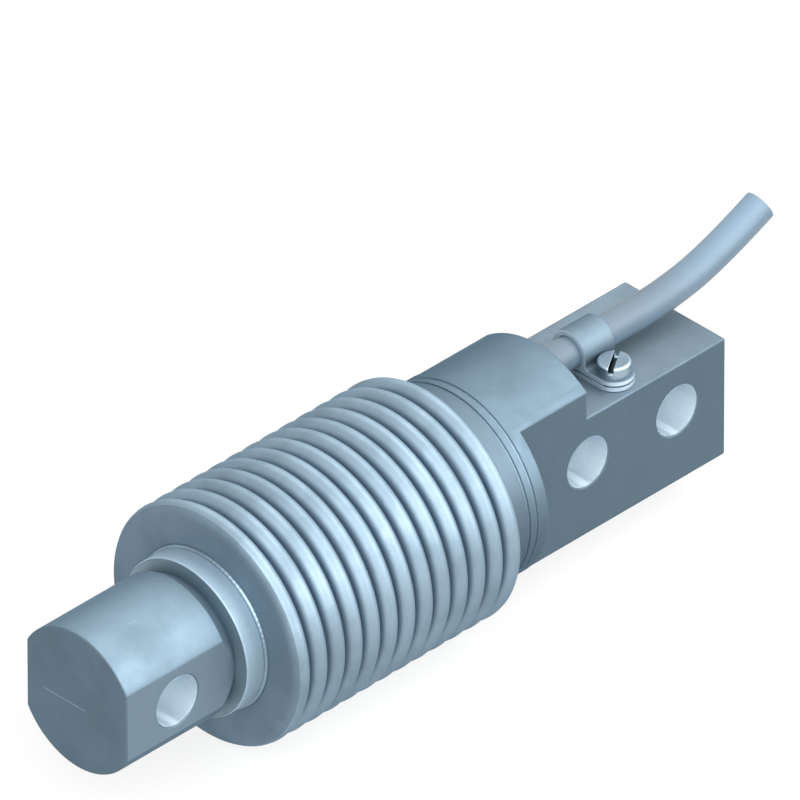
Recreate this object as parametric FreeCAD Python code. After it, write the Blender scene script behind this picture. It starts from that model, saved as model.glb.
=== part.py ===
"""Strain gauge load cell: a one-piece measuring body with a bending beam inside a welded bellows.

Frame: the axis of the body is X, with the load end towards -X and the clamping block towards +X.
The load acts along Y, through the cross bores. Z points out of the recess that carries the cable.
The origin is midway between the two clamping bores. All sizes are in millimetres.
"""

import FreeCAD
import Part

import math
import os

# Body, along X
LOAD_END_LENGTH = 19.0
NECK_LENGTH = 2.5
COLLAR_LENGTH = 6.2
COLLAR_BEFORE_BELLOWS = 3.75
HUB_LENGTH = 3.7
FLATS_START_AFTER_CUFF = 4.0
CUFF_TO_STEP = 17.55
RECESS_LENGTH = 27.9

# Body, across
LOAD_END_DIAMETER = 23.0
LOAD_FLATS_ACROSS = 20.0
NECK_DIAMETER = 19.9
COLLAR_DIAMETER = 24.8
BODY_DIAMETER = 31.7
BODY_FLATS_ACROSS = 20.0
RECESS_DEPTH = 8.15
RING_GROOVE_WIDTH = 0.45
RING_GROOVE_DEPTH = 0.3
RING_GROOVE_PITCH = 1.5

# Cross bores
BORE_DIAMETER = 8.2
LOAD_BORE_INSET = 10.0
CLAMP_BORE_INSET = 9.7
CLAMP_BORE_SPACING = 18.0

# Axis mark scribed on the load face
MARK_LENGTH = 8.5
MARK_WIDTH = 0.3
MARK_DEPTH = 0.15
MARK_SIDE = 2.55
MARK_HEIGHT = -1.0

# Bending beam
BEAM_WIDTH = 15.0
BEAM_DEPTH = 17.0
BEAM_EDGE = 1.0
BEAM_BORE_DIAMETER = 11.8
BEAM_BORE_SPACING = 20.0
BEAM_SLOT_WIDTH = 5.0

# Bellows
CREST_COUNT = 13
CREST_PITCH = 3.5
CREST_RADIUS = 1.45
CREST_DEPTH = 3.2
BELLOWS_WALL = 0.3
CUFF_LENGTH = 4.1
CUFF_FILLET = 0.5
SEAT_BEAD = 0.5

# Strain gauges and their leads
GAUGE_LENGTH = 9.0
GAUGE_WIDTH = 6.0
GAUGE_CARRIER = 0.1
GAUGE_FOIL = 0.05
GRID_LINES = 5
GRID_LINE_WIDTH = 0.4
GRID_LINE_PITCH = 0.8
GRID_LENGTH = 5.0
TAB_LENGTH = 1.4
TAB_WIDTH = 1.6
TAB_SPACING = 2.4
LEAD_DIAMETER = 0.3
LEAD_CLEARANCE = 0.05
LEAD_BEND = 0.8
LEAD_JOG = 3.0
LEAD_LANES = (-3.8, -1.2, 1.2, 3.8)

# Terminal board, a part ring on the hub face
BOARD_WIDTH = 3.0
BOARD_BEAM_CLEARANCE = 0.3
BOARD_RIM_CLEARANCE = 0.65
BOARD_THICKNESS = 0.8
BOARD_SPAN = 200.0
BOARD_NOTCH_CLEARANCE = 0.3
BOARD_SCREW_ANGLE = -5.0
BOARD_SCREW_HEAD_DIAMETER = 2.4
BOARD_SCREW_HEAD_HEIGHT = 0.9
BOARD_SCREW_DIAMETER = 1.6
BOARD_SCREW_LENGTH = 3.0
BOARD_SCREW_SLOT = 0.4
TERMINAL_DIAMETER = 1.2
TERMINAL_HEIGHT = 0.8
LEAD_TERMINAL_ANGLES = (5.0, 15.0, 25.0, 35.0)
CORE_TERMINAL_ANGLES = (68.0, 58.0, 48.0)
RESISTOR_ANGLES = (41.5, 138.5)
RESISTOR_ACROSS = 1.0
RESISTOR_HEIGHT = 0.5
RESISTOR_LENGTH = 1.4

# Cable, its entry and its cores
CABLE_DIAMETER = 5.0
SEAL_LENGTH = 6.0
GLAND_RING_LENGTH = 2.0
GLAND_WALL = 0.7
CORE_DIAMETER = 0.9
CORE_CIRCLE_RADIUS = 1.2
CORE_BEND = 1.2
CORE_CLEARANCE = 0.35
CORE_LAYER = 1.3

# Cable route beyond the step wall: distance along X from that wall, and height above the cable's axis
CABLE_TURN_POINTS = ((24.7, 0.0), (35.6, 2.1))
CABLE_CUT_POINT = (45.0, 6.4)

# Clip and its screw
CLIP_THICKNESS = 0.9
CLIP_WIDTH = 5.9
CLIP_FROM_STEP = 6.35
CLIP_LEAF_GAP = 0.08
CLIP_BEND = 0.7
CLIP_SCREW_SIDE = 6.15
SCREW_HEAD_DIAMETER = 5.0
SCREW_HEAD_HEIGHT = 1.9
SCREW_HEAD_EDGE = 0.25
SCREW_SLOT_WIDTH = 0.8
SCREW_SLOT_DEPTH = 1.1
SCREW_SLOT_TURN = 33.0
SCREW_DIAMETER = 3.0
SCREW_LENGTH = 6.0
SCREW_HOLE_EXTRA = 1.0
SCREW_HOLE_CLEARANCE = 0.1

# Radii and places that follow from the sizes above
LOAD_END_RADIUS = LOAD_END_DIAMETER / 2
NECK_RADIUS = NECK_DIAMETER / 2
COLLAR_RADIUS = COLLAR_DIAMETER / 2
BODY_RADIUS = BODY_DIAMETER / 2
HUB_RADIUS = BODY_RADIUS - BELLOWS_WALL
CREST_REACH = BODY_RADIUS + CREST_DEPTH
RECESS_HEIGHT = BODY_RADIUS - RECESS_DEPTH
BOARD_OUTER_RADIUS = HUB_RADIUS - BOARD_RIM_CLEARANCE
BOARD_INNER_RADIUS = BOARD_OUTER_RADIUS - BOARD_WIDTH
CABLE_RADIUS = CABLE_DIAMETER / 2
GLAND_RADIUS = CABLE_RADIUS + GLAND_WALL
CABLE_HEIGHT = RECESS_HEIGHT + CLIP_THICKNESS + CABLE_RADIUS
DUCT_RADIUS = CORE_CIRCLE_RADIUS + CORE_DIAMETER / 2 + CORE_CLEARANCE

X_END_FACE = CLAMP_BORE_SPACING / 2 + CLAMP_BORE_INSET
X_STEP = X_END_FACE - RECESS_LENGTH
X_CUFF_END = X_STEP - CUFF_TO_STEP
X_BODY_FLATS = X_CUFF_END + FLATS_START_AFTER_CUFF
X_HUB = X_CUFF_END - HUB_LENGTH
X_BELLOWS_REAR = X_CUFF_END - CUFF_LENGTH
X_BELLOWS = X_BELLOWS_REAR - (CREST_COUNT - 1) * CREST_PITCH - 2 * CREST_RADIUS
X_COLLAR = X_BELLOWS - COLLAR_BEFORE_BELLOWS
X_BEAM = X_COLLAR + COLLAR_LENGTH
X_LOAD_END = X_COLLAR - NECK_LENGTH
X_LOAD_FACE = X_LOAD_END - LOAD_END_LENGTH
X_SEAL = X_STEP - SEAL_LENGTH - GLAND_RING_LENGTH
X_BEAM_MIDDLE = (X_BEAM + X_HUB) / 2
X_CLIP = X_STEP + CLIP_FROM_STEP
X_CLIP_SCREW = X_CLIP + CLIP_WIDTH / 2
X_BOARD = X_HUB - BOARD_THICKNESS
X_TERMINAL = X_BOARD - TERMINAL_HEIGHT
BOARD_MIDDLE_RADIUS = (BOARD_INNER_RADIUS + BOARD_OUTER_RADIUS) / 2
CLIP_TOP = RECESS_HEIGHT + 2 * CLIP_THICKNESS

CORES = ("red", "black", "blue", "green", "grey", "white")
ALONG_X = FreeCAD.Vector(1, 0, 0)
UP = FreeCAD.Vector(0, 0, 1)


def point(x, y, z):
    return FreeCAD.Vector(x, y, z)


def rod(radius, x_start, x_end, y=0.0, z=0.0):
    """A cylinder along X."""
    return Part.makeCylinder(radius, x_end - x_start, point(x_start, y, z), ALONG_X)


def tube(outer, inner, x_start, x_end, z=0.0):
    """A ring or sleeve along X."""
    return rod(outer, x_start, x_end, z=z).cut(rod(inner, x_start, x_end, z=z))


def block(x_start, x_end, y_start, y_end, z_start, z_end):
    corner = point(x_start, y_start, z_start)
    return Part.makeBox(x_end - x_start, y_end - y_start, z_end - z_start, corner)


def cross_bore(diameter, x):
    """A cutter along Y through the whole body."""
    start = point(x, -BODY_DIAMETER, 0)
    return Part.makeCylinder(diameter / 2, 2 * BODY_DIAMETER, start, point(0, 1, 0))


def on_board(angle, radius, x):
    """A point on the board's ring, with the angle counted from +Y towards +Z."""
    turn = math.radians(angle)
    return point(x, radius * math.cos(turn), radius * math.sin(turn))


def turned(outline):
    """A solid turned about X from (x, radius) corners."""
    corners = [point(x, 0, radius) for x, radius in outline]
    face = Part.Face(Part.makePolygon(corners + corners[:1]))
    return face.revolve(point(0, 0, 0), ALONG_X, 360)


def route(points, bends):
    """A path of straight runs joined by tangent arcs, one bend radius for each inner point."""
    edges = []
    last = points[0]
    for before, corner, after, radius in zip(points, points[1:], points[2:], bends):
        arriving = (corner - before).normalize()
        leaving = (after - corner).normalize()
        half_turn = arriving.getAngle(leaving) / 2
        reach = radius * math.tan(half_turn)
        start = corner - arriving * reach
        end = corner + leaving * reach
        inwards = (leaving - arriving).normalize()
        middle = corner + inwards * (radius / math.cos(half_turn) - radius)
        edges.append(Part.LineSegment(last, start).toShape())
        edges.append(Part.Arc(start, middle, end).toShape())
        last = end
    edges.append(Part.LineSegment(last, points[-1]).toShape())
    return Part.Wire(edges)


def wire_solid(points, diameter, bends):
    """A round solid of one diameter along a route."""
    path = route(points, bends)
    start_direction = points[1] - points[0]
    section = Part.Wire(Part.makeCircle(diameter / 2, points[0], start_direction))
    return path.makePipeShell([section], True, False)


def largest_bends(points):
    """For each inner point, the radius that uses 0.45 of the shorter run beside it."""
    bends = []
    for before, corner, after in zip(points, points[1:], points[2:]):
        half_turn = (corner - before).getAngle(after - corner) / 2
        shorter = min((corner - before).Length, (after - corner).Length)
        bends.append(0.45 * shorter / math.tan(half_turn))
    return bends


def load_end_outline():
    """Load end, neck that tapers down to the collar, and collar, turned up to where the beam begins."""
    return [
        (X_LOAD_FACE, 0),
        (X_LOAD_FACE, LOAD_END_RADIUS),
        (X_LOAD_END, LOAD_END_RADIUS),
        (X_COLLAR, NECK_RADIUS),
        (X_COLLAR, COLLAR_RADIUS),
        (X_BEAM, COLLAR_RADIUS),
        (X_BEAM, 0),
    ]


def rear_outline():
    """Hub inside the cuff, two ring grooves and the round rear body."""
    grooved = BODY_RADIUS - RING_GROOVE_DEPTH
    first = X_CUFF_END + RING_GROOVE_WIDTH
    second = X_CUFF_END + RING_GROOVE_PITCH
    return [
        (X_HUB, 0),
        (X_HUB, HUB_RADIUS),
        (X_CUFF_END, HUB_RADIUS),
        (X_CUFF_END, grooved),
        (first, grooved),
        (first, BODY_RADIUS),
        (second, BODY_RADIUS),
        (second, grooved),
        (second + RING_GROOVE_WIDTH, grooved),
        (second + RING_GROOVE_WIDTH, BODY_RADIUS),
        (X_END_FACE, BODY_RADIUS),
        (X_END_FACE, 0),
    ]


def beam():
    """Bending beam with a double bore, which leaves four thin places under the gauges."""
    half_depth = BEAM_DEPTH / 2
    half_width = BEAM_WIDTH / 2
    bar = block(X_BEAM, X_HUB, -half_depth, half_depth, -half_width, half_width)
    long_edges = [edge for edge in bar.Edges if edge.Length > X_HUB - X_BEAM - BEAM_EDGE]
    bar = bar.makeChamfer(BEAM_EDGE, long_edges)
    window = block(
        X_BEAM_MIDDLE - BEAM_BORE_SPACING / 2,
        X_BEAM_MIDDLE + BEAM_BORE_SPACING / 2,
        -BEAM_SLOT_WIDTH / 2,
        BEAM_SLOT_WIDTH / 2,
        -BEAM_WIDTH,
        BEAM_WIDTH,
    )
    for x in gauge_stations():
        start = point(x, 0, -BEAM_WIDTH)
        window = window.fuse(
            Part.makeCylinder(BEAM_BORE_DIAMETER / 2, 2 * BEAM_WIDTH, start, UP)
        )
    return bar.cut(window)


def gauge_stations():
    """The two places along X where the beam is thinnest."""
    half = BEAM_BORE_SPACING / 2
    return (X_BEAM_MIDDLE - half, X_BEAM_MIDDLE + half)


def side_flats(x_start, x_end, across):
    """Cutters that leave two parallel flats, facing -Y and +Y."""
    reach = BODY_DIAMETER
    near = block(x_start, x_end, -reach, -across / 2, -reach, reach)
    far = block(x_start, x_end, across / 2, reach, -reach, reach)
    return [near, far]


def axis_mark():
    """The scribed line on the load face."""
    return block(
        X_LOAD_FACE,
        X_LOAD_FACE + MARK_DEPTH,
        MARK_SIDE - MARK_LENGTH / 2,
        MARK_SIDE + MARK_LENGTH / 2,
        MARK_HEIGHT - MARK_WIDTH / 2,
        MARK_HEIGHT + MARK_WIDTH / 2,
    )


def board_screw_angles():
    return (BOARD_SCREW_ANGLE, 180.0 - BOARD_SCREW_ANGLE)


def board_screw_holes():
    holes = []
    for angle in board_screw_angles():
        place = on_board(angle, BOARD_MIDDLE_RADIUS, X_HUB)
        depth = BOARD_SCREW_LENGTH - BOARD_THICKNESS
        holes.append(rod(BOARD_SCREW_DIAMETER / 2, X_HUB, X_HUB + depth, place.y, place.z))
    return holes


def clip_screw_hole():
    depth = SCREW_LENGTH - 2 * CLIP_THICKNESS + SCREW_HOLE_EXTRA
    bottom = point(X_CLIP_SCREW, -CLIP_SCREW_SIDE, RECESS_HEIGHT - depth)
    return Part.makeCylinder(SCREW_DIAMETER / 2, depth, bottom, UP)


def measuring_body():
    """The whole spring body: load end, collar, beam, hub and clamping block."""
    body = turned(load_end_outline()).fuse([beam(), turned(rear_outline())])
    cutters = side_flats(X_LOAD_FACE, X_COLLAR, LOAD_FLATS_ACROSS)
    cutters += side_flats(X_BODY_FLATS, X_END_FACE, BODY_FLATS_ACROSS)
    cutters.append(
        block(
            X_STEP, X_END_FACE, -BODY_DIAMETER, BODY_DIAMETER, RECESS_HEIGHT, BODY_DIAMETER
        )
    )
    cutters.append(cross_bore(BORE_DIAMETER, X_LOAD_FACE + LOAD_BORE_INSET))
    cutters.append(cross_bore(BORE_DIAMETER, -CLAMP_BORE_SPACING / 2))
    cutters.append(cross_bore(BORE_DIAMETER, CLAMP_BORE_SPACING / 2))
    cutters.append(rod(DUCT_RADIUS, X_HUB, X_SEAL, z=CABLE_HEIGHT))
    cutters.append(rod(GLAND_RADIUS, X_SEAL, X_STEP, z=CABLE_HEIGHT))
    cutters.append(clip_screw_hole())
    cutters.append(axis_mark())
    cutters += board_screw_holes()
    return body.cut(cutters).removeSplitter()


def arc_over(centre_x, centre_radius, radius, side):
    """A half circle in the turning plane, outwards for side 1 and inwards for side -1."""
    start = point(centre_x - radius, 0, centre_radius)
    middle = point(centre_x, 0, centre_radius + side * radius)
    end = point(centre_x + radius, 0, centre_radius)
    return Part.Arc(start, middle, end).toShape()


def join(edges, start):
    """Adds the straight wall from the last edge's end to a new start, if they are apart."""
    last = edges[-1].Vertexes[-1].Point
    if last.distanceToPoint(start) > 1e-6:
        edges.append(Part.LineSegment(last, start).toShape())


def wave(crest_radius, root_radius):
    """One skin of the bellows, from the front wall to the rear wall, as crest and root arcs."""
    crest_height = CREST_REACH - CREST_RADIUS
    gap = CREST_PITCH - 2 * CREST_RADIUS
    root_height = BODY_RADIUS + gap / 2
    edges = []
    for crest in range(CREST_COUNT):
        centre = X_BELLOWS + CREST_RADIUS + crest * CREST_PITCH
        over = arc_over(centre, crest_height, crest_radius, 1)
        if edges:
            join(edges, over.Vertexes[0].Point)
        edges.append(over)
        if crest < CREST_COUNT - 1:
            under = arc_over(centre + CREST_PITCH / 2, root_height, root_radius, -1)
            join(edges, under.Vertexes[0].Point)
            edges.append(under)
    return edges


def front_bead():
    """The weld bead between the collar and the front wall, from the collar outwards."""
    start = point(X_BELLOWS - SEAT_BEAD, 0, COLLAR_RADIUS)
    end = point(X_BELLOWS, 0, COLLAR_RADIUS + SEAT_BEAD)
    turn = math.sqrt(0.5) * SEAT_BEAD
    middle = point(X_BELLOWS - turn, 0, COLLAR_RADIUS + turn)
    return Part.Arc(start, middle, end).toShape()


def cuff_fillet():
    """The rounding between the rear wall and the cuff."""
    start = point(X_BELLOWS_REAR, 0, BODY_RADIUS + CUFF_FILLET)
    end = point(X_BELLOWS_REAR + CUFF_FILLET, 0, BODY_RADIUS)
    turn = (1 - math.sqrt(0.5)) * CUFF_FILLET
    middle = point(X_BELLOWS_REAR + turn, 0, BODY_RADIUS + turn)
    return Part.Arc(start, middle, end).toShape()


def bellows():
    """Thin welded bellows on the collar and the hub, turned from its outer and inner skins."""
    gap = CREST_PITCH - 2 * CREST_RADIUS
    outside = wave(CREST_RADIUS, gap / 2)
    inside = wave(CREST_RADIUS - BELLOWS_WALL, gap / 2 + BELLOWS_WALL)
    edges = [front_bead()]
    join(edges, outside[0].Vertexes[0].Point)
    edges += outside
    fillet = cuff_fillet()
    join(edges, fillet.Vertexes[0].Point)
    edges.append(fillet)
    join(edges, point(X_CUFF_END, 0, BODY_RADIUS))
    join(edges, point(X_CUFF_END, 0, HUB_RADIUS))
    join(edges, point(X_BELLOWS_REAR - BELLOWS_WALL, 0, HUB_RADIUS))
    join(edges, inside[-1].Vertexes[-1].Point)
    first_inside = inside[0].Vertexes[0].Point
    front = [
        Part.LineSegment(first_inside, point(X_BELLOWS + BELLOWS_WALL, 0, COLLAR_RADIUS)),
        Part.LineSegment(
            point(X_BELLOWS + BELLOWS_WALL, 0, COLLAR_RADIUS),
            point(X_BELLOWS - SEAT_BEAD, 0, COLLAR_RADIUS),
        ),
    ]
    edges += inside[::-1] + [line.toShape() for line in front]
    section = Part.Face(Part.Wire(edges))
    return section.revolve(point(0, 0, 0), ALONG_X, 360)


def strain_gauge(x, side):
    """Foil gauge on a bending face: a carrier with a grid of lines and two tabs."""
    start = BEAM_DEPTH / 2
    lines = (GRID_LINES - 1) / 2
    carrier_top = start + GAUGE_CARRIER
    half_length = GAUGE_LENGTH / 2
    half_width = GAUGE_WIDTH / 2
    carrier = block(x - half_length, x + half_length, start, carrier_top, -half_width, half_width)
    foil = []
    grid_start = x - half_length + (GAUGE_LENGTH - GRID_LENGTH - TAB_LENGTH) / 2
    grid_end = grid_start + GRID_LENGTH
    foil_top = carrier_top + GAUGE_FOIL
    for line in range(GRID_LINES):
        z_low = (line - lines) * GRID_LINE_PITCH - GRID_LINE_WIDTH / 2
        z_high = z_low + GRID_LINE_WIDTH
        foil.append(block(grid_start, grid_end, carrier_top, foil_top, z_low, z_high))
    for z in (-TAB_SPACING / 2, TAB_SPACING / 2):
        foil.append(
            block(
                x + half_length - TAB_LENGTH,
                x + half_length,
                carrier_top,
                foil_top,
                z - TAB_WIDTH / 2,
                z + TAB_WIDTH / 2,
            )
        )
    gauge = carrier.fuse(foil).removeSplitter()
    if side < 0:
        gauge = gauge.mirror(point(0, 0, 0), point(0, 1, 0))
    return gauge


def terminal_board():
    """The part ring on the hub face, notched where the cores come out of the duct."""
    ring = tube(BOARD_OUTER_RADIUS, BOARD_INNER_RADIUS, X_BOARD, X_HUB)
    below = (180.0 - BOARD_SPAN) / 2
    corners = [
        point(X_BOARD, 0, 0),
        on_board(below, 2 * BODY_RADIUS, X_BOARD),
        point(X_BOARD, 2 * BODY_RADIUS, 2 * BODY_RADIUS),
        point(X_BOARD, -2 * BODY_RADIUS, 2 * BODY_RADIUS),
        on_board(180.0 - below, 2 * BODY_RADIUS, X_BOARD),
    ]
    sector = Part.Face(Part.makePolygon(corners + corners[:1]))
    sector = sector.extrude(point(BOARD_THICKNESS, 0, 0))
    notch = rod(DUCT_RADIUS + BOARD_NOTCH_CLEARANCE, X_BOARD, X_HUB, z=CABLE_HEIGHT)
    half_depth = BEAM_DEPTH / 2 + BOARD_BEAM_CLEARANCE
    half_width = BEAM_WIDTH / 2 + BOARD_BEAM_CLEARANCE
    beam_space = block(X_BOARD, X_HUB, -half_depth, half_depth, -half_width, half_width)
    cutters = [notch, beam_space]
    for angle in board_screw_angles():
        place = on_board(angle, BOARD_MIDDLE_RADIUS, X_BOARD)
        cutters.append(rod(BOARD_SCREW_DIAMETER / 2, X_BOARD, X_HUB, place.y, place.z))
    return ring.common(sector).cut(cutters)


def board_screw(angle):
    """A small slotted screw through the board into the hub."""
    place = on_board(angle, BOARD_MIDDLE_RADIUS, X_BOARD)
    x_top = X_BOARD - BOARD_SCREW_HEAD_HEIGHT
    head = rod(BOARD_SCREW_HEAD_DIAMETER / 2, x_top, X_BOARD, place.y, place.z)
    shank = rod(
        BOARD_SCREW_DIAMETER / 2, X_BOARD, X_BOARD + BOARD_SCREW_LENGTH, place.y, place.z
    )
    half_slot = BOARD_SCREW_SLOT / 2
    slot = block(
        x_top,
        x_top + BOARD_SCREW_SLOT,
        place.y - BOARD_SCREW_HEAD_DIAMETER,
        place.y + BOARD_SCREW_HEAD_DIAMETER,
        place.z - half_slot,
        place.z + half_slot,
    )
    return head.fuse(shank).cut(slot).removeSplitter()


def trim_resistors():
    """Chip resistors on the board, along the ring: one on each side and one above the notch."""
    notch_top = CABLE_HEIGHT + DUCT_RADIUS + BOARD_NOTCH_CLEARANCE
    places = [(angle, BOARD_MIDDLE_RADIUS) for angle in RESISTOR_ANGLES]
    places.append((90.0, (notch_top + BOARD_OUTER_RADIUS) / 2))
    chips = []
    for angle, radius in places:
        chip = block(
            X_BOARD - RESISTOR_HEIGHT,
            X_BOARD,
            radius - RESISTOR_ACROSS / 2,
            radius + RESISTOR_ACROSS / 2,
            -RESISTOR_LENGTH / 2,
            RESISTOR_LENGTH / 2,
        )
        chip.rotate(point(0, 0, 0), ALONG_X, angle)
        chips.append(chip)
    return chips


def both_sides(angles):
    return [(side, angle if side > 0 else 180.0 - angle) for side in (1, -1) for angle in angles]


def solder_terminals():
    """Round posts on the board, for the gauge leads and for the cable's cores."""
    posts = []
    for _, angle in both_sides(LEAD_TERMINAL_ANGLES + CORE_TERMINAL_ANGLES):
        place = on_board(angle, BOARD_MIDDLE_RADIUS, X_TERMINAL)
        posts.append(rod(TERMINAL_DIAMETER / 2, X_TERMINAL, X_BOARD, place.y, place.z))
    return Part.makeCompound(posts)


def gauge_lead(side, lane, angle):
    """One thin wire along the bending face, from a gauge's tab to its post on the board."""
    front, rear = gauge_stations()
    height = side * (BEAM_DEPTH / 2 + LEAD_CLEARANCE + LEAD_DIAMETER / 2)
    tab = math.copysign(TAB_SPACING / 2, lane)
    post = on_board(angle, BOARD_MIDDLE_RADIUS, X_TERMINAL)
    x_turn = X_TERMINAL - 2 * LEAD_BEND
    if abs(lane) > TAB_SPACING / 2:
        start = front + GAUGE_LENGTH / 2
        points = [
            point(start, height, tab),
            point(start + LEAD_JOG, height, tab),
            point(start + 2 * LEAD_JOG, height, lane),
        ]
    else:
        points = [point(rear + GAUGE_LENGTH / 2, height, tab)]
    points += [point(x_turn, height, lane), point(x_turn, post.y, post.z), post]
    return wire_solid(points, LEAD_DIAMETER, [LEAD_BEND] * (len(points) - 2))


def gauge_leads():
    leads = []
    for side in (1, -1):
        for lane, angle in zip(LEAD_LANES, LEAD_TERMINAL_ANGLES):
            leads.append(gauge_lead(side, lane, angle if side > 0 else 180.0 - angle))
    return Part.makeCompound(leads)


def cable_core(number):
    """One insulated core, from the cable's inner end through the duct to its post."""
    side, angle = both_sides(CORE_TERMINAL_ANGLES)[number]
    layer = number % len(CORE_TERMINAL_ANGLES)
    spot = math.radians((60.0, 0.0, -60.0)[layer])
    y = side * CORE_CIRCLE_RADIUS * math.cos(spot)
    z = CABLE_HEIGHT + CORE_CIRCLE_RADIUS * math.sin(spot)
    post = on_board(angle, BOARD_MIDDLE_RADIUS, X_TERMINAL)
    x_turn = X_TERMINAL - 2 * CORE_BEND - layer * CORE_LAYER
    points = [point(X_SEAL, y, z), point(x_turn, y, z), point(x_turn, post.y, post.z), post]
    return wire_solid(points, CORE_DIAMETER, [CORE_BEND, CORE_BEND])


def cable():
    """The jacketed cable, from the inner end of its seal to the cut end."""
    points = [point(X_SEAL, 0, CABLE_HEIGHT)]
    for along, rise in CABLE_TURN_POINTS + (CABLE_CUT_POINT,):
        points.append(point(X_STEP + along, 0, CABLE_HEIGHT + rise))
    bends = largest_bends(points)
    print("cable bend radii, in diameters:", [round(b / CABLE_DIAMETER, 1) for b in bends])
    solid = wire_solid(points, CABLE_DIAMETER, bends)
    length = route(points, bends).Length
    section = math.pi * CABLE_RADIUS**2
    print("cable length", round(length, 2), "volume ratio", round(solid.Volume / section / length, 5))
    return solid


def cable_seal():
    """Rubber sleeve round the cable, behind the gland ring."""
    return tube(GLAND_RADIUS, CABLE_RADIUS, X_SEAL, X_SEAL + SEAL_LENGTH, z=CABLE_HEIGHT)


def gland_ring():
    """Pressed ring that closes the entry flush with the step wall."""
    return tube(GLAND_RADIUS, CABLE_RADIUS, X_SEAL + SEAL_LENGTH, X_STEP, z=CABLE_HEIGHT)


def loop_foot(strip):
    """The inner corner along X where the clip's loop comes down on the upper leaf."""
    drop = CABLE_HEIGHT - CLIP_TOP
    side = math.sqrt((CABLE_RADIUS + CLIP_THICKNESS) ** 2 - drop**2)
    foot = point(X_CLIP_SCREW, -side, CLIP_TOP)
    return min(strip.Edges, key=lambda edge: edge.CenterOfMass.distanceToPoint(foot))


def cable_clip():
    """One bent strip: a loop round the cable and two leaves that lie on each other."""
    x_rear = X_CLIP + CLIP_WIDTH
    between = RECESS_HEIGHT + CLIP_THICKNESS
    screw_axis = point(X_CLIP_SCREW, -CLIP_SCREW_SIDE, RECESS_HEIGHT)
    loop = rod(CABLE_RADIUS + CLIP_THICKNESS, X_CLIP, x_rear, z=CABLE_HEIGHT)
    leaves = block(X_CLIP, x_rear, -CLIP_SCREW_SIDE, 0, RECESS_HEIGHT, CLIP_TOP)
    round_end = Part.makeCylinder(CLIP_WIDTH / 2, 2 * CLIP_THICKNESS, screw_axis, UP)
    inside = rod(CABLE_RADIUS, X_CLIP, x_rear, z=CABLE_HEIGHT)
    gap = block(
        X_CLIP,
        x_rear,
        -CLIP_SCREW_SIDE - CLIP_WIDTH,
        -CABLE_RADIUS / 2,
        between - CLIP_LEAF_GAP / 2,
        between + CLIP_LEAF_GAP / 2,
    )
    hole_radius = SCREW_DIAMETER / 2 + SCREW_HOLE_CLEARANCE
    hole = Part.makeCylinder(hole_radius, 2 * CLIP_THICKNESS, screw_axis, UP)
    strip = loop.fuse([leaves, round_end]).removeSplitter()
    strip = strip.makeFillet(CLIP_BEND, [loop_foot(strip)])
    return strip.cut([inside, gap, hole]).removeSplitter()


def clip_screw():
    """Slotted cheese-head screw that holds the clip's leaves down."""
    axis = point(X_CLIP_SCREW, -CLIP_SCREW_SIDE, CLIP_TOP)
    head = Part.makeCylinder(SCREW_HEAD_DIAMETER / 2, SCREW_HEAD_HEIGHT, axis, UP)
    rim = [edge for edge in head.Edges if edge.BoundBox.ZMin > CLIP_TOP + SCREW_HEAD_HEIGHT / 2]
    head = head.makeChamfer(SCREW_HEAD_EDGE, rim)
    foot = axis - UP * SCREW_LENGTH
    shank = Part.makeCylinder(SCREW_DIAMETER / 2, SCREW_LENGTH, foot, UP)
    top = CLIP_TOP + SCREW_HEAD_HEIGHT
    slot = block(
        axis.x - SCREW_HEAD_DIAMETER,
        axis.x + SCREW_HEAD_DIAMETER,
        axis.y - SCREW_SLOT_WIDTH / 2,
        axis.y + SCREW_SLOT_WIDTH / 2,
        top - SCREW_SLOT_DEPTH,
        top,
    )
    slot.rotate(axis, UP, SCREW_SLOT_TURN)
    return head.fuse(shank).cut(slot).removeSplitter()


def all_parts():
    parts = {
        "measuring_body": measuring_body(),
        "bellows": bellows(),
        "terminal_board": terminal_board(),
        "solder_terminals": solder_terminals(),
        "gauge_leads": gauge_leads(),
        "cable": cable(),
        "cable_seal": cable_seal(),
        "gland_ring": gland_ring(),
        "cable_clip": cable_clip(),
        "clip_screw": clip_screw(),
    }
    gauge_places = [(x, side) for x in gauge_stations() for side in (1, -1)]
    for number, (x, side) in enumerate(gauge_places, start=1):
        parts[f"strain_gauge_{number}"] = strain_gauge(x, side)
    for number, angle in enumerate(board_screw_angles(), start=1):
        parts[f"board_screw_{number}"] = board_screw(angle)
    for number, chip in enumerate(trim_resistors(), start=1):
        parts[f"trim_resistor_{number}"] = chip
    for number, colour in enumerate(CORES):
        parts[f"cable_core_{colour}"] = cable_core(number)
    return parts


def main():
    os.makedirs("parts", exist_ok=True)
    for name, shape in all_parts().items():
        shape.exportStep(f"parts/{name}.step")
        solids = len(shape.Solids)
        print(name, "valid", shape.isValid(), "solids", solids, "mm3", round(shape.Volume, 2))


main()
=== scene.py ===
"""Strain gauge load cell: turned and milled steel body, formed bellows, clipped cable.

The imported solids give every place. This script gives them their finish, and makes the pieces
whose look needs more than the solids have: the bellows with its inner and outer skin, its weld
bead, the body, clip and screw with their edges broken, the cable on its smooth line and what
shows in the cable's cut. Sizes are in millimetres until they become vertices, which are in
metres. Camera and lamps are in metres throughout.
"""

import math

import bmesh
import bpy
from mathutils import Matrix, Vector


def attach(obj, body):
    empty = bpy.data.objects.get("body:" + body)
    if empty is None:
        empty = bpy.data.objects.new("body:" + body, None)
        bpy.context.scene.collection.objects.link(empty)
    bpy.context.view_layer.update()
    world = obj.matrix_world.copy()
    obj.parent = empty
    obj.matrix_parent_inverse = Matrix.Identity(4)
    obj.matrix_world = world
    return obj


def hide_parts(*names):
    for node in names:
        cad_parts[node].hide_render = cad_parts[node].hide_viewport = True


# A millimetre, and a length too small to be seen, both in metres
MM = 0.001
TINY = 1e-6

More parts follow.
